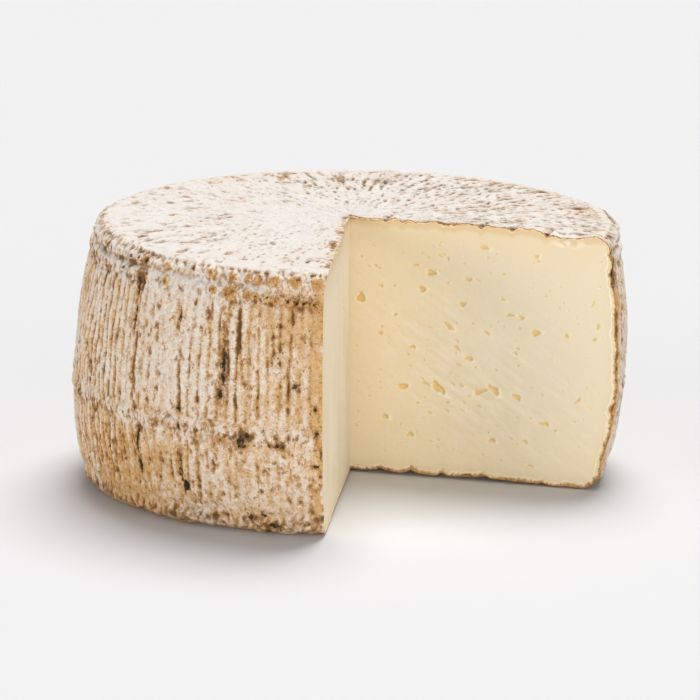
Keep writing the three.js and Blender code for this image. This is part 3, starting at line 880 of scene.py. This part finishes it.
def crust_section(solid, border, r, z, normal, azimuth, starts, seed, axis=None):
    """The crust's thickness at a cut: a narrow grid in the cut plane from its wavy inner edge to the
    skin's border. axis is the last row where the first section already has it."""
    count = np.arange(len(r))
    ends = np.minimum(count, count[::-1]).clip(0, 12) / 12
    uneven = 1 + 0.45 * ends * noise(count * 0.47, 0 * count, 2.6, seed, 2)
    thick = CRUST * (1.45 - 0.75 * smooth(z, 5, 92)) * uneven
    share = np.linspace(0, 1, CRUST_STEPS + 1)[None, :-1]
    inward = thick[:, None] * (1 - share)
    grid_r = r[:, None] - inward * normal[0][:, None]
    grid_z = z[:, None] - inward * normal[1][:, None]
    own = len(r) - (axis is not None)
    points = place(grid_r, np.maximum(grid_z, 0), azimuth)[:own]
    depth = 1 - share + LEFT_CRUST_CREAM * (azimuth == CUT_END)
    made = solid.add(points, depth=np.broadcast_to(depth, points.shape[:-1]))
    if axis is not None:
        made = np.concatenate([made, axis[None, :-1]])
    made = np.concatenate([made, border[:, None]], 1)
    solid.quads(made if starts else made[:, ::-1], material=1)
    return made


def hidden_azimuths(span):
    first, last = azimuths[span.start] + HIDDEN_MARGIN, azimuths[span.stop - 1] - HIDDEN_MARGIN
    return np.linspace(first, last, round((last - first) / HIDDEN_STEP) + 1)


def wall(solid, ends, outer, hidden, row):
    """Closes a skin between the ends of its outer and hidden faces, at its first or last row."""
    inside = np.concatenate([ends[0][row, :1], hidden, ends[1][row, :1]])
    outside = np.concatenate([ends[0][row, :-1], outer, ends[1][row, -2::-1]])
    solid.strip(*((inside, outside) if row == 0 else (outside, inside)))


def stretches(pieces):
    """The column ranges of a skin that is cut into equal stretches."""
    edges = np.linspace(0, COLUMNS, pieces + 1).astype(int)
    return [slice(first, last + 1) for first, last in zip(edges[:-1], edges[1:])]


side_points = place(border_r, border_z, azimuths)
top_points = place(top_r[:, None], top_z, azimuths)
under_points = place(under_r[:, None], under_z, azimuths)
normals = grid_normals(np.concatenate([under_points[:0:-1], side_points, top_points[1:]]))
under_normals = normals[UNDER_ROWS::-1]
side_normals = normals[UNDER_ROWS : UNDER_ROWS + SIDE_ROWS + 1]
top_normals = normals[UNDER_ROWS + SIDE_ROWS :]


def side_piece(span, seed):
    """One stretch of the side, closed by a coarse hidden face behind it."""
    solid = Solid(*SKIN_FIELDS, "depth")
    outer = solid.add(side_points[:, span], side_normals[:, span], **painted(fields, span))
    solid.quads(outer, group=1)
    ends = []
    for i, column in ((0, span.start), (-1, span.stop - 1)):
        line = border_r[:, column], border_z[:, column], (side_nr, side_nz)
        ends.append(crust_section(solid, outer[:, i], *line, azimuths[column], i == 0, seed + i))
    rows = np.arange(0, SIDE_ROWS + 1, HIDDEN_ROW_STEP)
    hidden_r, hidden_z = (side_r - SKIN * side_nr)[rows], (side_z - SKIN * side_nz)[rows]
    hidden = solid.add(place(hidden_r[:, None], hidden_z[:, None], hidden_azimuths(span)))
    solid.quads(hidden.T)
    solid.strip(ends[0][:, 0], hidden[:, 0])
    solid.strip(hidden[:, -1], ends[1][:, 0])
    wall(solid, ends, outer[0], hidden[0], 0)
    wall(solid, ends, outer[-1], hidden[-1], -1)
    return solid


def sheet_piece(span, fields, points, normals, r, z, level, up, thin_from, seed):
    """One stretch of the top or, with up -1, the underside: rings of points whose columns thin out by
    halves towards the axis, their own point there, both sections and a coarse hidden face."""
    solid = Solid(*SKIN_FIELDS, "depth")
    points, normals, values = points[:, span], normals[:, span], painted(fields, span)
    step = 2 ** np.ceil(np.log2(np.maximum(thin_from / np.maximum(r, LEAST_RADIUS), 1))).astype(int)
    step[0] = 1
    zones, first = [], 0
    while first < len(r) - 1:
        last = first + 1
        while last < len(r) - 1 and step[last] == step[first]:
            last += 1
        keep = slice(first, last), slice(None, None, step[first])
        zone_values = {name: value[keep] for name, value in values.items()}
        zones.append(solid.add(points[keep], normals[keep], **zone_values))
        first = last
    pole = solid.add(points[-1, :1], **{name: value[-1, :1] for name, value in values.items()})
    for zone, following in zip(zones, [*zones[1:], pole[None, :]]):
        if len(zone) > 1:
            solid.quads(zone, group=1)
        solid.strip(zone[-1], following[0], group=1)
    ends = []
    for i, column in ((0, span.start), (-1, span.stop - 1)):
        border = np.concatenate([*(zone[:, i] for zone in zones), pole])
        line = r, z[:, column], (0 * r, up + 0 * r)
        axis = ends[0][-1] if ends else None
        ends.append(crust_section(solid, border, *line, azimuths[column], i == 0, seed + i, axis))
    rows = np.linspace(0, len(r) - 1, HIDDEN_RINGS).astype(int)
    hidden_points = place(r[rows, None], level[rows, None] - up * SKIN, hidden_azimuths(span))
    hidden = solid.add(hidden_points[:-1])
    hidden_pole = solid.add(hidden_points[-1, :1])
    solid.quads(hidden.T)
    solid.strip(hidden_pole, hidden[-1])
    solid.strip(ends[0][:, 0], np.concatenate([hidden[:, 0], hidden_pole]))
    solid.strip(np.concatenate([hidden[:, -1], hidden_pole]), ends[1][:, 0])
    wall(solid, ends, zones[0][0], hidden[0], 0)
    return solid


def srgb(*channels):
    """Three 0-255 display values as the linear colour that a shader takes."""
    c = np.array(channels) / 255
    return (*np.where(c <= 0.04045, c / 12.92, ((c + 0.055) / 1.055) ** 2.4).tolist(), 1.0)


class Paint:
    """A material made by short calls. Each gives back the socket to feed to the next."""

    def __init__(self, name, roughness):
        self.material = bpy.data.materials.new(name)
        self.material.use_nodes = True
        self.tree = self.material.node_tree
        self.shader = self.tree.nodes["Principled BSDF"]
        self.shader.inputs["Roughness"].default_value = roughness
        self.shader.inputs["Specular IOR Level"].default_value = 0.3
        self.spot = self.node("TexCoord", {}, "Object")

    def node(self, kind, inputs, output=0, **settings):
        made = self.tree.nodes.new("ShaderNode" + kind)
        for name, value in settings.items():
            setattr(made, name, value)
        for key, value in inputs.items():
            if isinstance(value, bpy.types.NodeSocket):
                self.tree.links.new(value, made.inputs[key])
            else:
                made.inputs[key].default_value = value
        return made.outputs[output]

    def maths(self, operation, *values):
        return self.node("Math", dict(enumerate(values)), operation=operation)

    def field(self, name):
        return self.node("Attribute", {}, "Fac", attribute_name=name)

    def noise(self, size, detail=3.0, stretch=(1, 1, 1), distortion=0.0):
        """From 0 to 1, evenly spread, with features size mm across, longer by stretch."""
        scale = [1000 / size / s for s in stretch]
        at = self.node("Mapping", {"Vector": self.spot, "Scale": scale})
        values = {"Vector": at, "Scale": 1.0, "Detail": detail, "Distortion": distortion}
        raw = self.node("TexNoise", {**values, "Roughness": 0.6}, "Fac")
        return self.step(raw, 0.28, 0.72)

    def cells(self, size, wobble):
        """Lumps about size mm across, their outlines bent by noise: how far a point is from the middle
        of its lump, from 0 up, and a random number from 0 to 1 for each lump."""
        bend = self.node("TexNoise", {"Vector": self.spot, "Scale": 1500 / size, "Detail": 2.0}, "Color")
        reach = (wobble * size * MM,) * 3
        at = self.node("VectorMath", {0: bend, 1: reach, 2: self.spot}, operation="MULTIPLY_ADD")
        apart = self.node("TexVoronoi", {"Vector": at, "Scale": 1000 / size}, "Distance")
        return apart, self.node("SeparateColor", {"Color": apart.node.outputs["Color"]}, "Red")

    def step(self, value, low, high, bottom=0.0, top=1.0):
        """Goes smoothly from bottom, where value is low, to top, where it is high."""
        inputs = {0: value, 1: low, 2: high, 3: bottom, 4: top}
        return self.node("MapRange", inputs, interpolation_type="SMOOTHSTEP")

    def total(self, *terms):
        """The sum of value * weight over (value, weight) pairs, and of plain numbers."""
        result = 0.0
        for term in terms:
            if isinstance(term, tuple):
                result = self.maths("MULTIPLY_ADD", *term, result)
            else:
                result = self.maths("ADD", result, term)
        return result

    def mix(self, share, low, high):
        return self.node("Mix", {0: share, 6: low, 7: high}, 2, data_type="RGBA")

    def coats(self, tone, *layers):
        """Lays each layer, a share and a colour, over what is under it."""
        for share, colour in layers:
            tone = self.mix(share, tone, colour)
        return tone

    def bump(self, height, distance):
        """Relief of distance mm for a height that goes from 0 to 1."""
        made = self.node("Bump", {"Height": height, "Distance": distance * MM, "Strength": 1.0})
        self.tree.links.new(made, self.shader.inputs["Normal"])

    def colour(self, value):
        self.tree.links.new(value, self.shader.inputs["Base Color"])


# The skin's ground is tan, and amber by the ochre field. Bloom lies over it as a film, a white coat and,
# where it is not thick, fine lace; in places it is painted light. Brown dirt and painted shade, grey haze
# and dark mould come last.
skin = Paint("dry_rind", 0.88)
patchy = skin.noise(7, 4, (1, 1, 1.6))
mottled = skin.noise(2.6, 5, (1, 1, 1.4))
curdy = skin.noise(1.1, 4, (1, 1, 1.2), 0.7)
grainy = skin.noise(0.5, 2)
apart, which = skin.cells(1.8, 0.9)
lump = skin.step(apart, 0.75, 0.15)
pitted = skin.step(skin.total((apart, 1.0), (skin.field("bloom"), 0.25)), 0.42, 0.2)
pitted = skin.maths("MULTIPLY", pitted, skin.step(which, 0.6, 0.75))
curls = skin.maths("ABSOLUTE", skin.total((skin.noise(1.9, 3, (1, 1, 1.3), 0.8), 1.0), -0.5))
lace = skin.step(curls, 0.16, 0.03)
hue = skin.total((patchy, 0.4), (mottled, 0.35), (grainy, 0.25))
ground = skin.mix(hue, srgb(206, 154, 94), srgb(240, 206, 158))
amber = skin.mix(curdy, srgb(200, 144, 80), srgb(232, 188, 126))
ground = skin.mix(skin.step(skin.field("ochre"), 0.1, 1.1), ground, amber)
bloom = skin.total(
    (mottled, 0.32), (curdy, 0.4), (grainy, 0.3), (lump, 0.2), -0.7,
    (skin.field("bloom"), 1.0), (skin.field("cavity"), -0.6),
)  # fmt: skip
thick = skin.step(skin.field("bloom"), 0.95, 1.25)
film = skin.mix(thick, srgb(239, 222, 204), srgb(239, 229, 220))
crumb = skin.total((curdy, -0.5), (grainy, -0.35), (lump, -0.2), (pitted, 0.7), 0.5)
deep = skin.maths("MULTIPLY_ADD", crumb, skin.step(thick, 0.0, 1.0, 1.0, 0.25), skin.field("cavity"))
thin = skin.step(skin.total((skin.field("bloom"), 1.0), (thick, -1.0)), 0.0, 0.7, 0.0, 0.75)
shade = skin.maths("MULTIPLY", skin.step(skin.field("grey"), 0.05, 0.9), skin.step(curdy, 0.9, 0.2))
mould = skin.total((skin.field("dark"), 1.0), (curdy, -0.45), (grainy, -0.3), 0.45)
# Browns for dirt in hollows, grooves and cracks, and for the painted shade there and under bumps.
hollow = skin.mix(thick, srgb(176, 124, 66), srgb(172, 144, 116))
dark_dirt_and_shade = skin.mix(thick, srgb(104, 72, 38), srgb(108, 84, 56))
skin.colour(
    skin.coats(
        ground,
        (skin.step(bloom, 0.0, 0.8, 0.0, 0.9), film),
        (skin.step(bloom, 0.8, 1.3), srgb(240, 233, 226)),
        (skin.maths("MULTIPLY", lace, thin), srgb(246, 238, 226)),
        (skin.step(deep, 0.1, 0.75, 0.0, 0.8), hollow),
        (skin.step(deep, 0.6, 1.15, 0.0, 0.8), dark_dirt_and_shade),
        (skin.maths("MULTIPLY", shade, 0.6), srgb(128, 116, 100)),
        (skin.step(mould, 0.35, 0.9, 0.0, 0.95), srgb(56, 44, 30)),
    )
)
skin.bump(skin.total((mottled, 0.2), (curdy, 0.4), (grainy, 0.3), (lump, 0.25), (pitted, -0.4)), 0.75)

# The crust's cut edge goes from tan outside to cream inside, with brown specks.
crust = Paint("crust_edge", 0.7)
worn = crust.total((crust.field("depth"), 1.0), (crust.noise(1.1, 3), 0.5), (crust.noise(4, 3), 0.4), -0.4)
tone = crust.mix(crust.step(worn, 0.3, 1.0), srgb(186, 138, 78), srgb(240, 220, 180))
specks = crust.total((crust.noise(1.3, 3), 1.0), (crust.field("depth"), -0.45))
crust.colour(crust.mix(crust.step(specks, 0.4, 0.7, 0.0, 0.8), tone, srgb(112, 78, 40)))


def dress(made):
    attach(made, "root")
    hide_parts("cheese_wheel")


skin_paints = [skin.material, crust.material]
for number, span in enumerate(stretches(SIDE_PIECES), 1):
    dress(side_piece(span, 41).finish(f"rind_side_{number}", skin_paints))
for number, span in enumerate(stretches(TOP_PIECES), 1):
    sheet = top, top_points, top_normals, top_r, top_z, top_height(top_r)
    solid = sheet_piece(span, *sheet, up=1, thin_from=TOP_THIN_FROM, seed=51)
    dress(solid.finish(f"rind_top_{number}", skin_paints))
sheet = under, under_points, under_normals, under_r, under_z, 0 * under_r
solid = sheet_piece(stretches(1)[0], *sheet, up=-1, thin_from=UNDER_THIN_FROM, seed=61)
dress(solid.finish("rind_underside", skin_paints, flip=True))


# ---- Paste ----
# The paste is what the cuts lay bare: firm warm cream, yellower towards the middle, with small eyes
# whose golden colour is painted shade and scattered light, and a painted highlight on their lower right
# lips. Both cut faces and a hidden back make one closed piece, whose border lies under the crust.

PASTE_INSET = 0.55
PASTE_UP = 240
RIGHT_ACROSS = 270
LEFT_ACROSS = 120
FOOT_CORNER = 4.7
RIM_CORNER = 3.7
HIDDEN_DEPTH = 3.6
EYE_CORNERS = 0.17
EYE_FLATNESS = 0.87
KNIFE_SLOPE = -33.0

# Eyes on the right face: radius, height, length, breadth and slope.
EYES = [
    (4, 65.1, 2.5, 4, 0), (30.1, 75.5, 3.3, 2.3, 0), (27.1, 69.3, 3, 2, -10), (42.1, 64.7, 2.3, 1.9, 0),
    (44.3, 73.9, 2.3, 1.5, 0), (50.3, 85.9, 3, 1.5, -10), (37, 56.2, 4, 1.8, -30),
    (44.7, 44.9, 2.8, 1.6, 0), (23.5, 48, 2.1, 1.7, 0), (19.8, 32.9, 3.4, 2.2, 0),
    (33.3, 33.3, 5.3, 2.5, -40), (28.8, 34.5, 2.7, 1.2, -20), (48.7, 33, 5.3, 1.7, 15),
    (54.3, 34, 4, 2.6, -35), (62.7, 31.8, 2.8, 1.9, -30), (59.9, 61.8, 2.8, 1.3, 0),
    (64.1, 61, 2.1, 1.5, -20), (69.5, 55.9, 3.7, 2, 0), (80.7, 55.5, 1.9, 1.5, -15),
    (92.3, 59.8, 1.3, 1.9, 0), (13, 21.3, 3.3, 2, 0), (22.7, 15.2, 2.5, 1.7, 0),
    (53.3, 15.3, 2.8, 1.7, 0), (72.9, 22.9, 2.8, 1.6, 0), (85.2, 32.3, 3, 1.3, 40),
    (69.8, 83.7, 1.7, 1.5, 0), (11.7, 69.7, 1.7, 1.5, 0), (17, 59.5, 2.1, 1.5, 0),
    (11.5, 52.1, 2, 1.3, 0), (24.3, 78, 2.3, 1.2, 0), (68, 7, 2.4, 1.1, 0), (36.5, 72.3, 2.4, 0.8, 10),
    (57.1, 67.5, 2.3, 1.3, -25), (40.3, 48.3, 3.3, 1.2, -40), (51.3, 54.7, 2.7, 1.2, -30),
    (37, 28.3, 1.9, 1.3, 0), (91, 55, 1.5, 1.2, 0), (90.3, 67.7, 1, 3, -20),
]  # fmt: skip


def resample(line, count):
    """Points evenly spaced by length of arc along a line through given points."""
    way = np.concatenate([[0], np.cumsum(np.hypot(*np.diff(line, axis=0).T))])
    even = np.linspace(0, way[-1], count)
    return np.stack([np.interp(even, way, line[:, k]) for k in (0, 1)], -1)


def cut_outline(i):
    """A cut's outline in radius and height, set in from the skin's border, from the axis along the
    underside, up the side and back along the top, and the numbers of its two outer corners."""
    r = np.concatenate([under_r[::-1], border_r[1:, i], top_r[1:]])
    z = np.concatenate([under_z[::-1, i], border_z[1:, i], top_z[1:, i]])
    normal_r = np.concatenate([0 * under_r, side_nr[1:], 0 * top_r[1:]])
    normal_z = np.concatenate([0 * under_r - 1, side_nz[1:], 0 * top_r[1:] + 1])
    line = np.stack([r - PASTE_INSET * normal_r, z - PASTE_INSET * normal_z], -1)
    row_height = side_way[1]
    foot = UNDER_ROWS + round(FOOT_CORNER / row_height)
    return line, foot, UNDER_ROWS + SIDE_ROWS - round(RIM_CORNER / row_height)


def patch(line, foot, rim, across, up):
    """A grid that fills the outline: the two blends of opposite sides added, less the blend of the
    corners."""
    bottom = resample(line[: foot + 1], across + 1)[None]
    over = resample(line[rim:][::-1], across + 1)[None]
    axis = resample(line[[0, -1]], up + 1)[:, None]
    outside = resample(line[foot : rim + 1], up + 1)[:, None]
    s, t = np.linspace(0, 1, across + 1)[None, :, None], np.linspace(0, 1, up + 1)[:, None, None]
    sides = (1 - t) * bottom + t * over + (1 - s) * axis + s * outside
    low = (1 - s) * bottom[:, :1] + s * bottom[:, -1:]
    high = (1 - s) * over[:, :1] + s * over[:, -1:]
    return sides - (1 - t) * low - t * high


def eye_marks(r, z, eyes, ragged, fields):
    """Adds eyes to a face: each a steep-sided dent, 1 inside an ellipse with a ragged outline that is
    bent towards a triangle, coloured golden as painted shade and scattered light, with a raised lip along
    its lower right that is painted pale as a highlight."""
    for radius, height, length, breadth, slope in eyes:
        turn = np.radians(slope)
        x, y = r - radius, z - height
        along = (x * np.cos(turn) + y * np.sin(turn)) / (0.5 * length)
        over = (y * np.cos(turn) - x * np.sin(turn)) / (0.5 * EYE_FLATNESS * breadth)
        corners = 3 * np.arctan2(over, along) + 7 * radius + height
        d = np.hypot(along, over) * (1 + EYE_CORNERS * np.cos(corners)) + ragged
        hole = 1 - smooth(d, 0.75, 1.2)
        # A painted highlight: pale along each eye's lower right, on a slightly raised lip.
        lip = bell(d - 1.5, 0.32) * smooth(x - y, 0, 0.5 * length)
        depth = 0.3 * min(length, breadth)
        fields["depth"] += depth * hole - 0.08 * lip
        # The eye's golden colour is painted shade and scattered light, more in bigger eyes.
        fields["eye"] = np.maximum(fields["eye"], hole * min(1, 0.36 + 0.35 * min(length, breadth)))
        fields["lip"] += 0.8 * lip


def scattered(count, radius, height, length, breadth, slope, pick=draw.uniform):
    """Random eyes of one slope: pick draws radius and height from its two numbers each, and length and
    breadth lie between their two."""
    return [
        (pick(*radius), pick(*height), draw.uniform(*length), draw.uniform(*breadth), slope)
        for _ in range(count)
    ]


def cut_face(i, azimuth, across, seed):
    """One cut face: its grid, and its fields by radius and height. depth is in mm into the paste."""
    line, foot, rim = cut_outline(i)
    grid = patch(line, foot, rim, across, PASTE_UP)
    base_r, base_z = grid[..., 0], grid[..., 1]
    at = place(base_r, base_z, azimuth)
    r, z = np.hypot(at[..., 0], at[..., 1]) / MM, at[..., 2] / MM
    to_side = np.interp(base_z, border_z[:, i], border_r[:, i]) - base_r
    to_top = np.interp(base_r, top_r[::-1], top_z[::-1, i]) - base_z
    to_foot = base_z - np.interp(base_r, under_r[::-1], under_z[::-1, i])
    edge = np.minimum(np.minimum(to_side, to_top), to_foot)
    names = ("depth", "eye", "lip", "paleness")
    fields = {name: np.zeros(r.shape) for name in names}
    ragged = 0.4 * noise(r, z, 1.3, seed, 2)
    if i == 0:
        eye_marks(r, z, EYES, ragged, fields)
        small = scattered(120, (2, 94), (4, 88), (0.6, 1.5), (0.5, 0.9), -25)
        small += scattered(48, (45, 25), (38, 22), (1.2, 2.1), (0.6, 1.0), -25, pick=draw.normal)
        small += scattered(18, (3, 45), (76, 89), (1.0, 1.9), (0.6, 1.0), -20)
        eye_marks(r, z, small, ragged, fields)
        turn = np.radians(KNIFE_SLOPE)
        along, over = r * np.cos(turn) + z * np.sin(turn), z * np.cos(turn) - r * np.sin(turn)
        smear = noise(over, along + 2 * noise(r, z, 6, seed + 6), 1.6, seed + 1, 3, stretch=4)
        smear = smear * bell(over - 55, 24) * bell(along - 20, 60)
        middle = bell(r - 50, 30) * bell(z - 48, 22)
        # Painted light makes the middle of this face paler, and painted shade makes it darker towards the
        # top.
        fields["paleness"] += 0.5 + 0.42 * smear - 0.1 * smooth(z, 60, 86) + 0.25 * middle
        fields["depth"] += 0.08 * smear + 0.06 * noise(r, z, 7, seed + 2, 2)
        torn = smooth(noise(r, z, 2.6, seed + 4, 3, stretch=0.5), -0.9, 0.2)
        torn *= bell(r - 81, 9) * bell(to_top - 2.4, 2)
        mark(fields, torn, lip=0.85, depth=-0.25)
    else:
        small = scattered(90, (3, 94), (6, 88), (0.6, 1.5), (0.5, 0.9), 30)
        small += scattered(22, (5, 88), (8, 84), (1.8, 3.6), (1.2, 2.2), 30)
        eye_marks(r, z, small, ragged, fields)
        paleness = 0.5 * noise(r, z, 1.4, seed + 1, 3, stretch=16)
        paleness += 0.9 * noise(r, z, 8, seed + 5, 2, stretch=4)
        fields["paleness"] += 0.62 + 0.5 * paleness + 0.3 * smooth(z, 45, 90)
        fields["depth"] += 0.08 * paleness
        fields["lip"] += 0.35 * smooth(z, 10, 80)
    # A ragged lip, where the knife broke out from under the crust, follows the side and the foot.
    reach = 1.7 + 0.7 * noise(r + z, r - z, 3.5, seed + 3, 3)
    by_side = smooth(to_top, 3, 8)
    fields["lip"] += 0.9 * by_side * bell(edge - reach, 0.28)
    fields["depth"] += 0.14 * by_side * (1 - smooth(edge - reach, -0.25, 0.25))
    calm = smooth(edge, 0.8, 2.6) * smooth(r, 0, 1.2)
    fields["depth"] = fields["depth"] * calm + 0.07 * (1 - smooth(edge, 0.9, 2.2)) * smooth(r, 0, 1.2)
    a = np.radians(azimuth)
    into = np.array([-np.sin(a), np.cos(a), 0]) * (1 if i == 0 else -1)
    points = at + MM * fields.pop("depth")[..., None] * into
    fields["core"] = (1 - smooth(r, 0, 70) * smooth(to_foot, -20, 40)) * (1 if i == 0 else 0.2)
    fields["edge"] = np.minimum(edge, 0.35 * to_top) / 10
    return points, {name: np.clip(value, 0, 1) for name, value in fields.items()}


paste = Solid("eye", "lip", "paleness", "core", "edge")
points, values = cut_face(0, CUT_START, RIGHT_ACROSS, 70)
right = paste.add(points, **values)
points, values = cut_face(-1, CUT_END, LEFT_ACROSS, 80)
left = paste.add(points[:, 1:], **{name: value[:, 1:] for name, value in values.items()})
left = np.concatenate([right[:, :1], left], 1)
paste.quads(right, group=1)
paste.quads(left[:, ::-1], group=2)
rows = np.arange(8, SIDE_ROWS - 7, 16)
level = np.array([8.0, 24, 44, 64, 80])
back_r = np.concatenate([level, side_r[rows] - HIDDEN_DEPTH * side_nr[rows], level[::-1]])
back_z = side_z[rows] - HIDDEN_DEPTH * side_nz[rows]
back_z = np.concatenate([0 * level + HIDDEN_DEPTH, back_z, top_height(level[::-1]) - HIDDEN_DEPTH])
back = paste.add(place(back_r[:, None], back_z[:, None], hidden_azimuths(stretches(1)[0])[1:-1]))
low_pole, high_pole = right[:1, 0], right[-1:, 0]
paste.quads(back)
paste.strip(low_pole, back[0])
paste.strip(back[-1], high_pole)
loops = [np.concatenate([face[0], face[1:, -1], face[-1, -2::-1]]) for face in (right, left)]
paste.strip(np.concatenate([low_pole, back[:, 0], high_pole]), loops[0])
paste.strip(loops[1], np.concatenate([low_pole, back[:, -1], high_pole]))

cream = Paint("firm_paste", 0.55)
grain = cream.noise(1.6, 4)
soft = cream.noise(16, 2)
yellow = cream.total((cream.field("core"), 1.0), (soft, 0.3), -0.15)
cream.colour(
    cream.coats(
        srgb(229, 214, 185),
        (cream.step(yellow, 0.0, 1.0), srgb(236, 218, 182)),
        # Paler smears and streaks, with painted light and painted shade on the right face.
        (cream.step(cream.field("paleness"), 0.4, 1.0, 0.0, 0.5), srgb(242, 231, 209)),
        (cream.step(grain, 0.5, 0.8, 0.0, 0.12), srgb(226, 204, 158)),
        (cream.step(cream.field("edge"), 0.08, 0.6, 0.55, 0.0), srgb(226, 204, 166)),
        (cream.step(cream.field("edge"), 0.07, 0.13, 0.5, 0.0), srgb(214, 178, 120)),
        # Pale lips, which on the eyes are a painted highlight, then the eyes' golden painted shade.
        (cream.step(cream.field("lip"), 0.2, 1.0, 0.0, 0.7), srgb(250, 240, 218)),
        (cream.step(cream.field("eye"), 0.1, 0.9, 0.0, 0.82), srgb(230, 193, 108)),
    )
)
cream.bump(cream.total((grain, 0.6), (cream.noise(0.5, 3), 0.4)), 0.06)
cream.shader.inputs["Subsurface Weight"].default_value = 0.12
cream.shader.inputs["Subsurface Radius"].default_value = (1.0, 0.6, 0.3)
cream.shader.inputs["Subsurface Scale"].default_value = 0.002

dress(paste.finish("paste", [cream.material]))
